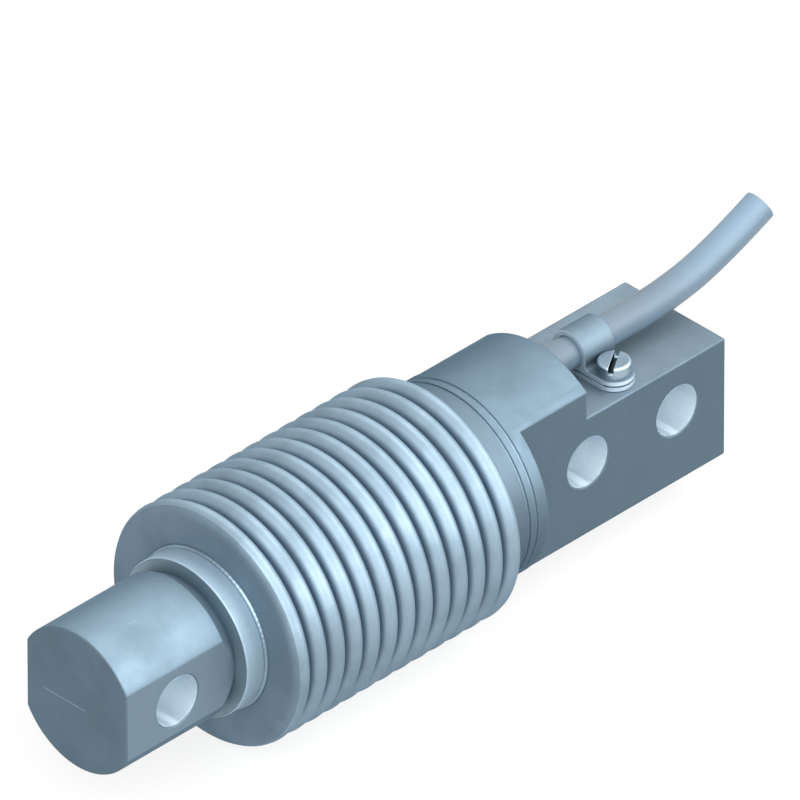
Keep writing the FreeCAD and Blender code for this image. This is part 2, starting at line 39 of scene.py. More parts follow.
# Stations along the body's axis, from the solids
X_LOAD_FACE = -101.0
X_LOAD_END = -82.0
X_COLLAR = -79.5
X_BELLOWS = -75.75
X_CUFF_END = -26.75
X_BODY_FLATS = -22.75
X_STEP = -9.2

# Heights and radii about that axis
RECESS_HEIGHT = 7.7
FLAT_SIDE = 10.0
BODY_RADIUS = 15.85
COLLAR_RADIUS = 12.4

# Bellows, its weld bead, and how finely both are drawn
CREST_COUNT = 13
CREST_PITCH = 3.5
CREST_RADIUS = 1.45
CREST_REACH = 19.035
BELLOWS_WALL = 0.3
CUFF_LENGTH = 4.1
SEAT_BEAD = 0.5
WELD_SCALES = 96
SCALE_SWELL = 0.05
SCALE_LAG = 0.12
OUTER_ROWS = 8
INNER_ROWS = 4
BELLOWS_COLUMNS = 129
SEAM = 0.002
X_REAR_WALL = X_CUFF_END - CUFF_LENGTH

# Bores across the body, and how far behind a bore's middle its flats are parted
BORE_RADIUS = 4.1
BORES_X = (-91.0, -9.0, 9.0)
PART_LINE_OFFSET = 1.0

# Clip screw: its axis, the top of its head, its slot, and the clip's round ends about that axis
SCREW_X = 0.1
SCREW_Y = -6.15
SCREW_TOP = 11.4
SLOT_WIDTH = 0.8
SLOT_DEPTH = 1.1
SLOT_TURN = 33.0
SLOT_REACH = 2.0
LEAF_END_RADIUS = 2.95

# Height of the line scribed across the load face
LINE_HEIGHT = -1.0

# Widths of the broken edges, how far below its top the screw's are broken, and the turns in
# degrees under which faces are one plane and from which an edge is sharp
OUTER_EDGE = 0.22
NECK_EDGE = 0.08
RING_EDGE = 0.06
CLIP_EDGE = 0.12
SCREW_EDGE = 0.07
SCREW_EDGE_DEPTH = 1.8
WIDEST_EDGE = 0.25
PLANE_TURN = 0.2
SHARP_TURN = 14.0

# Stretches of the body that are broken finer or stay sharp: neck, ring grooves, hidden beam,
# scribed line, the cable's bore in the step wall and the clip screw's hole
NECK_SPAN = (X_LOAD_END - 1.6, X_COLLAR - 0.05)
RING_SPAN = (X_CUFF_END - 0.5, X_CUFF_END + 2.4)
BEAM_SPAN = (X_COLLAR + 5.0, X_CUFF_END - 0.5)
LINE_END = X_LOAD_FACE + 0.4
LINE_REACH = 9.0
CABLE_BORE_START = X_STEP - 8.5
CABLE_BORE_REACH = 15.0
CABLE_BORE_SIDE = 3.4
CABLE_BORE_LOW = 7.75
SCREW_HOLE_REACH = 1.7

# The body's faces up to these are side flats, or the floor of the recess, and are shaded plain
FLAT_FACE = FLAT_SIDE + 0.1
RECESS_FACE = RECESS_HEIGHT + 0.1

# Cable: the route's points along X and Z, its sizes, where it leaves the step wall, and the
# circle and the sides of what shows in its cut
CABLE_POINTS = ((-17.2, 11.1), (4.4, 11.1), (15.5, 11.1), (26.4, 13.2), (35.8, 17.5))
CABLE_DIAMETER = 5.0
CORE_CIRCLE = 1.02
STRAND_SIDES = 12
CORE_SIDES = 24

# Limits of the coloured regions, set a little off the surfaces so that broken edges fall right
HAIR = 0.02
BORE_WALL = BORE_RADIUS + 0.04
BORE_SIDE = FLAT_SIDE - 0.2
NECK_SIDE = FLAT_SIDE - 0.03
BODY_ROUND = BODY_RADIUS - 0.06
RINGS_END = X_BODY_FLATS - 0.05
LINE_FLOOR = X_LOAD_FACE + 0.2
LINE_BAND = 0.2
LINE_SIDE = 8.0
COLLAR_ROUND = COLLAR_RADIUS - 0.15
COLLAR_START = X_COLLAR - 0.05
COLLAR_END = X_BELLOWS + 0.1
RECESS_TOP = RECESS_HEIGHT + 0.3
FLAT_TOP = FLAT_SIDE + 0.3
LEAF_END = LEAF_END_RADIUS - 0.15
SLOT_FLOOR = SCREW_TOP - SLOT_DEPTH - HAIR
SLOT_MOUTH = SCREW_TOP - 0.03
FRONT_WALL_END = X_BELLOWS + 0.5
GROOVES_START = X_BELLOWS + 0.6
GROOVES_END = X_REAR_WALL - 0.6
CUFF_START = X_REAR_WALL + 0.2
GROOVE_DEPTHS = (CREST_REACH - 0.9, CREST_REACH - 2.2)
JACKET_LIGHT_SPAN = (10.0, 32.0)

# How straight along an axis a face looks: 1 is straight along it and 0 is across it. Over the
# last but one the marks change from a side's to an end's, and over the last the jacket's top takes its
# painted light.
PLANE = 0.9999
DEAD_SQUARE = 0.999
SQUARE = 0.99
HEAD_TOP = 0.98
SHEARED = 0.9
UPRIGHT = 0.3
ROUND = 0.2
SIDE_TO_END = (0.6, 0.8)
JACKET_TOP = (0.0, 0.95)

# Marks of work: their lines per mm, how much of each shows, and the radius of the face mill and
# how far off the axis it was led
TURNED_LINES = 6.0
BROAD_LINES = 0.7
BROAD_SHARE = 0.6
FORMED_LINES = 9.0
MILLED_LINES = 2.2
CUTTER_RADIUS = 26.0
CUTTER_PATH = 2.5
MILL_GRAIN = 0.3
NOISE_MEAN = 0.5

# Smudges, and scratches that run two ways: the noise's scale and stretch, and what of it shows
SMUDGE_SCALE = 0.11
SMUDGE_BAND = (0.35, 0.7)
SCRATCHES = (
    (2.2, (0.10, 1.0, 4.0), (0.74, 0.80)),
    (2.0, (3.4, 0.14, 0.4), (0.76, 0.82)),
)

# How strongly each of them changes the colour and the roughness of machined steel
EVEN_STAIN = 0.05
SMUDGE_STAIN = 0.55
MARK_STAIN = 0.35
SCRATCH_GLINT = 0.25
SMUDGE_ROUGHNESS = 0.10
MARK_ROUGHNESS = 0.08
DULL_ROUGHNESS = 0.12

# The same for the bellows and the jacket, and the mottle and grain of the plain finishes
SHEET_ROUGHNESS = 0.54
SHEET_SMUDGE = 0.35
SHEET_SMUDGE_ROUGHNESS = 0.08
FRONT_ROUGHNESS = 0.14
GROOVE_SHARE = 0.85
JACKET_ROUGHNESS = 0.34
JACKET_GRAIN_ROUGHNESS = 0.12
JACKET_SMUDGE = 0.5
PLAIN_SCALE = 1.2
PLAIN_BAND = (0.3, 0.7)
PLAIN_MOTTLE = 0.12
PLAIN_GRAIN_FINER = 6.0
PLAIN_GRAIN = 0.003

# Finishes, as linear colours, painted light and painted shade among them; the plain ones have two, the
# second of them for their mottle
STEEL = (0.142, 0.200, 0.246)
STEEL_DARK = (0.110, 0.157, 0.195)
# Painted light and painted shade: the load end's flats and round are lighter copies of the steel, and the
# side flats a darker copy
LOAD_FLAT_PAINTED_LIGHT = (0.202, 0.272, 0.330)
SIDE_FLATS_PAINTED_SHADE = (0.124, 0.175, 0.215)
LOAD_ROUND_PAINTED_LIGHT = (0.166, 0.232, 0.284)
# Painted light: the collar's front face is lighter, against its shade behind the load end
COLLAR_FACE_PAINTED_LIGHT = (0.265, 0.350, 0.405)
# Painted light: the floor of the recess is lighter, against its shade under the cable and the step
RECESS_PAINTED_LIGHT = (0.192, 0.250, 0.292)
STEEL_BRIGHT = (0.260, 0.345, 0.410)
# Painted light: the walls of the bores are near white, against the shade deep in them
BORE_PAINTED_LIGHT = (0.840, 0.930, 0.990)
# Painted light: the ring grooves are lighter, against the shade in them
RING_GROOVE_PAINTED_LIGHT = (0.300, 0.390, 0.460)
# Painted light: the neck between load end and collar is a lighter copy of the steel
NECK_PAINTED_LIGHT = (0.212, 0.278, 0.330)
LINE_STEEL = (0.380, 0.475, 0.545)
# Painted shade: the rear body's round is a darker copy of the steel
BODY_ROUND_PAINTED_SHADE = (0.128, 0.181, 0.224)
# Painted light: the collar's round is a much lighter copy of the steel
COLLAR_PAINTED_LIGHT = (0.405, 0.525, 0.615)
# Bellows and weld: lighter than the body's steel, as painted light against the shade between the crests
BELLOWS_STEEL = (0.262, 0.348, 0.418)
# Painted shade: the cuff is darker, against the highlight of a lamp on it
CUFF_PAINTED_SHADE = (0.115, 0.160, 0.197)
# Painted shade: the front wall is darker, as a face turned away from the light
FRONT_WALL_PAINTED_SHADE = (0.188, 0.258, 0.318)
# Painted light: the roots between the crests are lighter, against the shade in them
GROOVE_PAINTED_LIGHT = (0.440, 0.580, 0.690)
CLIP_STEEL = (0.150, 0.205, 0.250)
# Painted light: the clip's sheared edges and the round ends of its leaves are near white
CLIP_EDGE_PAINTED_LIGHT = (0.600, 0.705, 0.800)
SCREW_STEEL = (0.400, 0.510, 0.590)
# Painted shade: the top of the screw's head is darker than its sides
SCREW_TOP_PAINTED_SHADE = (0.190, 0.250, 0.300)
# Painted shade: the slot is near black
SLOT_PAINTED_SHADE = (0.030, 0.040, 0.050)
EDGE_TINT = (0.35, 0.42, 0.48, 1.0)
JACKET = (0.088, 0.132, 0.174)
JACKET_WORN = (0.078, 0.118, 0.156)
# Painted light: the top of the cable towards its free end is lighter
JACKET_PAINTED_LIGHT = (0.158, 0.237, 0.313)
TINNED_POSTS = ((0.62, 0.60, 0.56), (0.50, 0.48, 0.44))
COPPER_LEADS = ((0.60, 0.25, 0.13), (0.45, 0.18, 0.10))
SEAL_RUBBER = ((0.02, 0.02, 0.022), (0.03, 0.03, 0.033))
BOARD_LAMINATE = ((0.02, 0.10, 0.05), (0.015, 0.07, 0.035))
GAUGE_FILM = ((0.45, 0.18, 0.03), (0.35, 0.13, 0.02))
RESISTOR_BODY = ((0.02, 0.02, 0.02), (0.04, 0.04, 0.04))
CORE_COLOURS = {
    "red": ((0.45, 0.02, 0.02), (0.38, 0.02, 0.02)),
    "black": ((0.01, 0.01, 0.01), (0.02, 0.02, 0.02)),
    "blue": ((0.02, 0.05, 0.35), (0.02, 0.04, 0.28)),
    "green": ((0.02, 0.22, 0.04), (0.02, 0.17, 0.03)),
    "grey": ((0.22, 0.23, 0.25), (0.18, 0.19, 0.21)),
    "white": ((0.75, 0.75, 0.72), (0.68, 0.68, 0.65)),
}

# Camera: its lens and sensor, its view in metres and its direction in degrees
LENS = 1650.0
SENSOR = 36.0
VIEW_WIDTH = 0.11307
VIEW_AIM = (-0.03606, 0.00067, 0.01901)
AZIMUTH = -45.0
ELEVATION = 35.264

# Floor: its half in metres, its gap under the bellows, its finish, and how much pure white is
# mixed into what is seen of it
FLOOR_HALF = 3.0
FLOOR_GAP = 0.02
FLOOR_WHITE = 0.80
FLOOR_ROUGHNESS = 0.9
FLOOR_GLOW = 0.80

# World: the strength at which it lights, and the one at which it is seen
WORLD_LIGHT = 0.55
WORLD_SEEN = 1.0

# Lamps, in metres: where they aim, and each one's place, the size of its panel and its power
LAMP_AIM = (-0.035, 0.0, 0.0)
LAMPS = {
    "front": ((-3.8, -3.8, 3.8), (8.0, 6.5), 640.0),
    "right": ((0.62, -0.80, 0.50), (1.0, 0.9), 12.0),
    "top": ((0.715, -0.15, 1.06), (1.3, 0.9), 10.0),
    "back": ((0.64, 0.675, 0.675), (1.0, 0.9), 3.2),
}

# Kinds of sockets
NUMBER = "NodeSocketFloat"
WHOLE = "NodeSocketInt"
VECTOR = "NodeSocketVector"
GEOMETRY = "NodeSocketGeometry"
MATERIAL = "NodeSocketMaterial"


# Small tools for node trees

def put(tree, socket, value):
    """Links a socket to another, or sets its plain value."""
    if isinstance(value, bpy.types.NodeSocket):
        tree.links.new(value, socket)
    else:
        socket.default_value = value


def calc(tree, operation, *values, clamp=False):
    """One arithmetic node; each value is a number or a socket."""
    node = tree.nodes.new("ShaderNodeMath")
    node.operation = operation
    node.use_clamp = clamp
    for socket, value in zip(node.inputs, values):
        put(tree, socket, value)
    return node.outputs[0]


def times(tree, *values, clamp=False):
    """One value times another."""
    return calc(tree, "MULTIPLY", *values, clamp=clamp)


def plus(tree, *values, clamp=False):
    """One value and another."""
    return calc(tree, "ADD", *values, clamp=clamp)


def minus(tree, *values, clamp=False):
    """One value less another."""
    return calc(tree, "SUBTRACT", *values, clamp=clamp)


def spread(tree, value, low, high):
    """0 at one value and 1 at another, with soft ends."""
    node = tree.nodes.new("ShaderNodeMapRange")
    node.interpolation_type = "SMOOTHSTEP"
    for title, number in (("Value", value), ("From Min", low), ("From Max", high)):
        put(tree, node.inputs[title], number)
    return node.outputs["Result"]


def scaled(tree, vector, factor):
    """A vector or a colour times a number."""
    node = tree.nodes.new("ShaderNodeVectorMath")
    node.operation = "SCALE"
    put(tree, node.inputs[0], vector)
    put(tree, node.inputs["Scale"], factor)
    return node.outputs[0]


def split(tree, vector):
    """The three coordinates of a vector."""
    node = tree.nodes.new("ShaderNodeSeparateXYZ")
    put(tree, node.inputs[0], vector)
    return node.outputs


def distance(tree, first, second):
    """How far a point lies from the origin, from its two coordinates."""
    squares = plus(tree, calc(tree, "POWER", first, 2.0), calc(tree, "POWER", second, 2.0))
    return calc(tree, "SQRT", squares)


def between(tree, factor, first, second):
    """A number between two others."""
    node = tree.nodes.new("ShaderNodeMix")
    put(tree, node.inputs["Factor"], factor)
    put(tree, node.inputs["A"], first)
    put(tree, node.inputs["B"], second)
    return node.outputs["Result"]


def tint(tree, factor, first, second):
    """A colour between two others."""
    node = tree.nodes.new("ShaderNodeMix")
    node.data_type = "RGBA"
    put(tree, node.inputs["Factor"], factor)
    for title, value in (("A", first), ("B", second)):
        socket = next(s for s in node.inputs if s.name == title and s.type == "RGBA")
        put(tree, socket, value if isinstance(value, bpy.types.NodeSocket) else (*value, 1.0))
    return next(s for s in node.outputs if s.type == "RGBA")


def speckle(tree, place, scale, detail=2.0, roughness=0.5, stretch=None):
    """A noise value at a place in millimetres, with grains about 1 / scale long."""
    if stretch is not None:
        stretched = tree.nodes.new("ShaderNodeVectorMath")
        stretched.operation = "MULTIPLY"
        put(tree, stretched.inputs[0], place)
        stretched.inputs[1].default_value = stretch
        place = stretched.outputs[0]
    node = tree.nodes.new("ShaderNodeTexNoise")
    put(tree, node.inputs["Vector"], place)
    node.inputs["Scale"].default_value = scale
    node.inputs["Detail"].default_value = detail
    node.inputs["Roughness"].default_value = roughness
    return node.outputs["Fac"]


def lines(tree, along, per_unit):
    """Uneven fine lines across one coordinate."""
    node = tree.nodes.new("ShaderNodeTexNoise")
    node.noise_dimensions = "1D"
    put(tree, node.inputs["W"], along)
    put(tree, node.inputs["Scale"], per_unit)
    node.inputs["Detail"].default_value = 3.0
    return node.outputs["Fac"]


def new_group(name, kind, inputs, outputs):
    """A node group with named sockets; returns the tree, its input sockets and its output node.

    An input is given by its kind of socket, or by the number that it starts from.
    """
    tree = bpy.data.node_groups.new(name, kind)
    for title, value in inputs.items():
        if isinstance(value, str):
            tree.interface.new_socket(title, in_out="INPUT", socket_type=value)
        else:
            number = WHOLE if isinstance(value, int) else NUMBER
            socket = tree.interface.new_socket(title, in_out="INPUT", socket_type=number)
            socket.default_value = value
    for title, socket_type in outputs.items():
        tree.interface.new_socket(title, in_out="OUTPUT", socket_type=socket_type)
    start = tree.nodes.new("NodeGroupInput")
    end = tree.nodes.new("NodeGroupOutput")
    return tree, start.outputs, end


def use_group(tree, group, **values):
    """Places a shader group in a tree, with its own values."""
    node = tree.nodes.new("ShaderNodeGroup")
    node.node_tree = group
    for title, value in values.items():
        put(tree, node.inputs[title.replace("_", " ")], value)
    return node.outputs


# Shader groups that the finishes share

def lathe_marks_group():
    """Fine rings left by turning: along the axis on round faces, across it on end faces."""
    tree, given, end = new_group(
        "Lathe marks",
        "ShaderNodeTree",
        {"Place": VECTOR, "Facing": VECTOR, "Lines per mm": TURNED_LINES},
        {"Height": NUMBER, "Tone": NUMBER},
    )
    x, y, z = split(tree, given["Place"])
    radius = distance(tree, y, z)
    facing_x = calc(tree, "ABSOLUTE", split(tree, given["Facing"])[0])
    on_end = spread(tree, facing_x, *SIDE_TO_END)
    along = between(tree, on_end, x, radius)
    fine = lines(tree, along, given["Lines per mm"])
    broad = lines(tree, along, BROAD_LINES)
    put(tree, end.inputs["Height"], plus(tree, fine, times(tree, broad, BROAD_SHARE)))
    put(tree, end.inputs["Tone"], minus(tree, fine, NOISE_MEAN))
    return tree


def mill_marks_group():
    """Shallow arcs left by a face mill on the flats."""
    tree, given, end = new_group(
        "Mill marks",
        "ShaderNodeTree",
        {"Place": VECTOR, "Facing": VECTOR, "Cutter radius": CUTTER_RADIUS, "Lines per mm": MILLED_LINES},
        {"Height": NUMBER, "Tone": NUMBER},
    )
    x, y, z = split(tree, given["Place"])
    facing_z = calc(tree, "ABSOLUTE", split(tree, given["Facing"])[2])
    on_floor = spread(tree, facing_z, *SIDE_TO_END)
    across = plus(tree, between(tree, on_floor, z, y), CUTTER_PATH)
    whole = calc(tree, "POWER", given["Cutter radius"], 2.0)
    room = minus(tree, whole, calc(tree, "POWER", across, 2.0))
    along = plus(tree, x, calc(tree, "SQRT", calc(tree, "MAXIMUM", room, 0.0)))
    feed = lines(tree, along, given["Lines per mm"])
    grain = speckle(tree, given["Place"], scale=2.0, stretch=(0.3, 1.0, 3.0))
    put(tree, end.inputs["Height"], plus(tree, feed, times(tree, grain, MILL_GRAIN)))
    put(tree, end.inputs["Tone"], minus(tree, feed, NOISE_MEAN))
    return tree


def handling_group():
    """Soft smudges and a few fine scratches from handling."""
    tree, given, end = new_group(
        "Handling",
        "ShaderNodeTree",
        {"Place": VECTOR, "Seed": VECTOR},
        {"Smudge": NUMBER, "Scratch": NUMBER},
    )
    moved = tree.nodes.new("ShaderNodeVectorMath")
    moved.operation = "ADD"
    put(tree, moved.inputs[0], given["Place"])
    put(tree, moved.inputs[1], given["Seed"])
    place = moved.outputs[0]
    cloud = speckle(tree, place, SMUDGE_SCALE, detail=4.0, roughness=0.6)
    put(tree, end.inputs["Smudge"], spread(tree, cloud, *SMUDGE_BAND))
    either_way = [
        spread(tree, speckle(tree, place, scale, detail=1.0, stretch=stretch), *band)
        for scale, stretch, band in SCRATCHES
    ]
    put(tree, end.inputs["Scratch"], calc(tree, "MAXIMUM", *either_way))
    return tree


# Materials

def new_material(name, metallic, roughness, **constants):
    """A material with one shader; returns it with its tree and the shader's inputs."""
    material = bpy.data.materials.new(name)
    material.use_nodes = True
    tree = material.node_tree
    shader = tree.nodes["Principled BSDF"].inputs
    shader["Metallic"].default_value = metallic
    shader["Roughness"].default_value = roughness
    for title, value in constants.items():
        shader[title.replace("_", " ")].default_value = value
    return material, tree, shader


class Surface:
    """Where a material is on the object, in millimetres, and which way its face points.

    facing is the face's own direction, and normal that of the smoothed surface.
    """

    def __init__(self, tree):
        self.tree = tree
        self.place = scaled(tree, tree.nodes.new("ShaderNodeTexCoord").outputs["Object"], 1.0 / MM)
        geometry = tree.nodes.new("ShaderNodeNewGeometry").outputs
        self.normal, self.facing = geometry["Normal"], geometry["True Normal"]
        self.x, self.y, self.z = split(tree, self.place)
        self.facing_x, self.facing_y, self.facing_z = split(tree, self.facing)
        self.radius = distance(tree, self.y, self.z)

    def above(self, value, limit):
        """1 where a value is over its limit."""
        return calc(self.tree, "GREATER_THAN", value, limit)

    def below(self, value, limit):
        """1 where a value is under its limit."""
        return calc(self.tree, "LESS_THAN", value, limit)

    def size(self, value):
        """A value without its sign."""
        return calc(self.tree, "ABSOLUTE", value)

    def near(self, value, middle, reach):
        """1 where a value is closer to a middle than its reach."""
        return self.below(self.size(minus(self.tree, value, middle)), reach)

    def where(self, *masks):
        """1 where every mask is 1."""
        whole = masks[0]
        for mask in masks[1:]:
            whole = times(self.tree, whole, mask)
        return whole


def by_region(tree, colour, *regions):
    """A colour that changes where a mask is 1; each region is its mask and its own colour."""
    for mask, other in regions:
        colour = tint(tree, mask, colour, other)
    return colour


def dimmed(tree, colour, amount):
    """A colour made darker by an amount from 0 to 1."""
    return scaled(tree, colour, minus(tree, 1.0, amount))


def relief(tree, shader, height, depth):
    """Raises the surface by a height pattern, as deep as so many millimetres."""
    bump = tree.nodes.new("ShaderNodeBump")
    bump.inputs["Strength"].default_value = 1.0
    bump.inputs["Distance"].default_value = depth * MM
    put(tree, bump.inputs["Height"], height)
    put(tree, shader["Normal"], bump.outputs["Normal"])


def steel_material(name, groups, tones, stain, rough, seed, marks=0.004, milled=False):
    """Machined steel: turning rings, mill arcs on flats where asked, smudges and scratches.

    tones gives the colour at each place, painted light and shade included, stain is how much use and
    marks darken it, and marks is how deep they are cut.
    """
    material, tree, shader = new_material(name, 1.0, rough, Specular_Tint=EDGE_TINT)
    at = Surface(tree)
    turned = use_group(tree, groups["lathe"], Place=at.place, Facing=at.facing)
    height, fine = turned["Height"], turned["Tone"]
    if milled:
        cut = use_group(tree, groups["mill"], Place=at.place, Facing=at.facing)
        flat = on_flats(at)
        height = between(tree, flat, height, cut["Height"])
        fine = between(tree, flat, fine, cut["Tone"])
    handled = use_group(tree, groups["handling"], Place=at.place, Seed=seed)
    shade = plus(tree, times(tree, handled["Smudge"], SMUDGE_STAIN), EVEN_STAIN)
    shade = plus(tree, shade, times(tree, fine, MARK_STAIN), clamp=True)
    colour = dimmed(tree, tones(at), times(tree, shade, stain))
    colour = tint(tree, times(tree, handled["Scratch"], SCRATCH_GLINT), colour, STEEL_BRIGHT)
    put(tree, shader["Base Color"], colour)
    smudged = times(tree, handled["Smudge"], SMUDGE_ROUGHNESS)
    rough_here = plus(tree, rough - SMUDGE_ROUGHNESS / 2, smudged)
    rough_here = plus(tree, rough_here, times(tree, fine, MARK_ROUGHNESS))
    if milled:
        duller = calc(tree, "MAXIMUM", on_collar(at), on_recess(at))
        rough_here = plus(tree, rough_here, times(tree, duller, DULL_ROUGHNESS))
    put(tree, shader["Roughness"], rough_here)
    relief(tree, shader, height, marks)
    return material


# Colours of the steel pieces place by place, their painted light and painted shade among them

def one_tone(colour):
    """The same colour at every place."""
    return lambda at: colour


def body_tones(at):
    """The measuring body, region by region: lighter and darker copies of one steel as painted light and
    painted shade, and a lighter scribed line.
    """
    return by_region(
        at.tree,
        STEEL,
        (on_load_round(at), LOAD_ROUND_PAINTED_LIGHT),
        (on_body_round(at), BODY_ROUND_PAINTED_SHADE),
        (on_flats(at), SIDE_FLATS_PAINTED_SHADE),
        (on_load_flats(at), LOAD_FLAT_PAINTED_LIGHT),
        (on_recess(at), RECESS_PAINTED_LIGHT),
        (in_bores(at), BORE_PAINTED_LIGHT),
        (on_collar(at), COLLAR_PAINTED_LIGHT),
        (on_collar_face(at), COLLAR_FACE_PAINTED_LIGHT),
        (in_neck(at), NECK_PAINTED_LIGHT),
        (in_scribed_line(at), LINE_STEEL),
        (in_rings(at), RING_GROOVE_PAINTED_LIGHT),
    )


def clip_tones(at):
    """The clip: painted light on its sheared edges and round the ends of its leaves."""
    tree = at.tree
    reach = distance(tree, minus(tree, at.x, SCREW_X), minus(tree, at.y, SCREW_Y))
    round_end = at.where(
        at.above(reach, LEAF_END),
        at.below(at.size(at.facing_z), UPRIGHT),
        at.below(at.y, SCREW_Y),
    )
    cut_edge = calc(tree, "MAXIMUM", at.above(at.size(at.facing_x), SHEARED), round_end)
    return by_region(tree, CLIP_STEEL, (cut_edge, CLIP_EDGE_PAINTED_LIGHT))


def screw_tones(at):
    """The clip screw: painted shade on the top of its head and down in its slot."""
    tree = at.tree
    sine, cosine = math.sin(math.radians(SLOT_TURN)), math.cos(math.radians(SLOT_TURN))
    from_x = minus(tree, at.x, SCREW_X)
    from_y = minus(tree, at.y, SCREW_Y)
    across = plus(tree, times(tree, from_x, -sine), times(tree, from_y, cosine))
    along = plus(tree, times(tree, from_x, cosine), times(tree, from_y, sine))
    on_top = at.where(at.above(at.facing_z, HEAD_TOP), at.above(at.z, SCREW_TOP - HAIR))
    in_slot = at.where(
        at.near(across, 0.0, SLOT_WIDTH / 2 + HAIR),
        at.near(along, 0.0, SLOT_REACH),
        at.above(at.z, SLOT_FLOOR),
        at.below(at.z, SLOT_MOUTH),
    )
    return by_region(tree, SCREW_STEEL, (on_top, SCREW_TOP_PAINTED_SHADE), (in_slot, SLOT_PAINTED_SHADE))


# Regions of the measuring body: each is 1 there and 0 elsewhere

def in_bores(at):
    """On the walls of the cross bores."""
    tree = at.tree
    inside = 0.0
    for centre in BORES_X:
        apart = distance(tree, minus(tree, at.x, centre), at.z)
        inside = calc(tree, "MAXIMUM", inside, at.below(apart, BORE_WALL))
    return at.where(inside, at.below(at.size(at.y), BORE_SIDE))


def in_neck(at):
    """On the taper between load end and collar."""
    return at.where(
        at.above(at.x, X_LOAD_END - HAIR),
        at.below(at.x, X_COLLAR - HAIR),
        at.below(at.size(at.y), NECK_SIDE),
    )


def in_rings(at):
    """In the ring grooves beside the bellows' cuff."""
    return at.where(
        at.below(at.radius, BODY_ROUND),
        at.above(at.x, X_CUFF_END),
        at.below(at.x, RINGS_END),
    )


def in_scribed_line(at):
    """In the line scribed across the load face."""
    return at.where(
        at.above(at.x, X_LOAD_FACE + HAIR),
        at.below(at.x, LINE_FLOOR),
        at.near(at.z, LINE_HEIGHT, LINE_BAND),
        at.below(at.size(at.y), LINE_SIDE),
    )


def on_collar(at):
    """On the round of the collar, whose lighter tone is painted light."""
    return at.where(
        at.above(at.radius, COLLAR_ROUND),
        at.above(at.x, COLLAR_START),
        at.below(at.x, COLLAR_END),
    )


def on_collar_face(at):
    """On the front face of the collar."""
    return at.where(at.below(at.facing_x, -SQUARE), at.near(at.x, X_COLLAR, HAIR))


def on_load_flats(at):
    """On the side flats of the load end."""
    return at.where(
        at.above(at.size(at.facing_y), DEAD_SQUARE),
        at.below(at.size(at.y), FLAT_SIDE + HAIR),
        at.below(at.x, X_COLLAR),
    )


def on_load_round(at):
    """On the round of the load end."""
    return at.where(at.below(at.size(at.facing_x), ROUND), at.below(at.x, X_LOAD_END))


def on_body_round(at):
    """On the round of the rear body."""
    return at.where(
        at.below(at.size(at.facing_x), ROUND),
        at.above(at.radius, BODY_ROUND),
        at.above(at.x, X_CUFF_END),
    )


def on_recess(at):
    """On the floor of the recess."""
    return at.where(at.above(at.facing_z, SQUARE), at.below(at.z, RECESS_TOP))


def on_flats(at):
    """On the milled side flats and on the floor of the recess."""
    side = at.where(at.above(at.size(at.facing_y), SQUARE), at.below(at.size(at.y), FLAT_TOP))
    return calc(at.tree, "MAXIMUM", side, on_recess(at))


# Finishes of the bellows, the cable and the small pieces

def bellows_material(groups):
    """Smooth formed sheet: painted light in the grooves, painted shade on the cuff and front wall, and a
    duller front wall.
    """
    material, tree, shader = new_material("Bellows sheet", 1.0, SHEET_ROUGHNESS, Specular_Tint=EDGE_TINT)
    at = Surface(tree)
    handled = use_group(tree, groups["handling"], Place=at.place, Seed=(31.0, 7.0, 3.0))
    formed = use_group(tree, groups["lathe"], Place=at.place, Facing=at.facing, Lines_per_mm=FORMED_LINES)
    on_front = at.below(at.x, FRONT_WALL_END)
    between_crests = at.where(at.above(at.x, GROOVES_START), at.below(at.x, GROOVES_END))
    depth = spread(tree, at.radius, *GROOVE_DEPTHS)
    colour = by_region(
        tree,
        BELLOWS_STEEL,
        (at.above(at.x, CUFF_START), CUFF_PAINTED_SHADE),
        (on_front, FRONT_WALL_PAINTED_SHADE),
        (times(tree, handled["Smudge"], SHEET_SMUDGE), STEEL_DARK),
        (times(tree, at.where(depth, between_crests), GROOVE_SHARE), GROOVE_PAINTED_LIGHT),
    )
    put(tree, shader["Base Color"], colour)
    rough = plus(tree, SHEET_ROUGHNESS, times(tree, handled["Smudge"], SHEET_SMUDGE_ROUGHNESS))
    put(tree, shader["Roughness"], plus(tree, rough, times(tree, on_front, FRONT_ROUGHNESS)))
    relief(tree, shader, formed["Height"], depth=0.002)
    return material


def jacket_material(groups):
    """Matt cable jacket with a fine extruded grain, and painted light on its top towards its free end."""
    material, tree, shader = new_material("Cable jacket", 0.0, JACKET_ROUGHNESS, Specular_IOR_Level=0.45)
    at = Surface(tree)
    handled = use_group(tree, groups["handling"], Place=at.place, Seed=(3.0, 17.0, 29.0))
    grain = speckle(tree, at.place, scale=9.0, detail=3.0, stretch=(0.12, 1.0, 1.0))
    on_top = spread(tree, split(tree, at.normal)[2], *JACKET_TOP)
    painted_top_light = at.where(on_top, spread(tree, at.x, *JACKET_LIGHT_SPAN))
    colour = tint(tree, times(tree, handled["Smudge"], JACKET_SMUDGE), JACKET, JACKET_WORN)
    put(tree, shader["Base Color"], tint(tree, painted_top_light, colour, JACKET_PAINTED_LIGHT))
    rough = plus(tree, JACKET_ROUGHNESS, times(tree, grain, JACKET_GRAIN_ROUGHNESS))
    put(tree, shader["Roughness"], rough)
    relief(tree, shader, grain, depth=0.006)
    return material


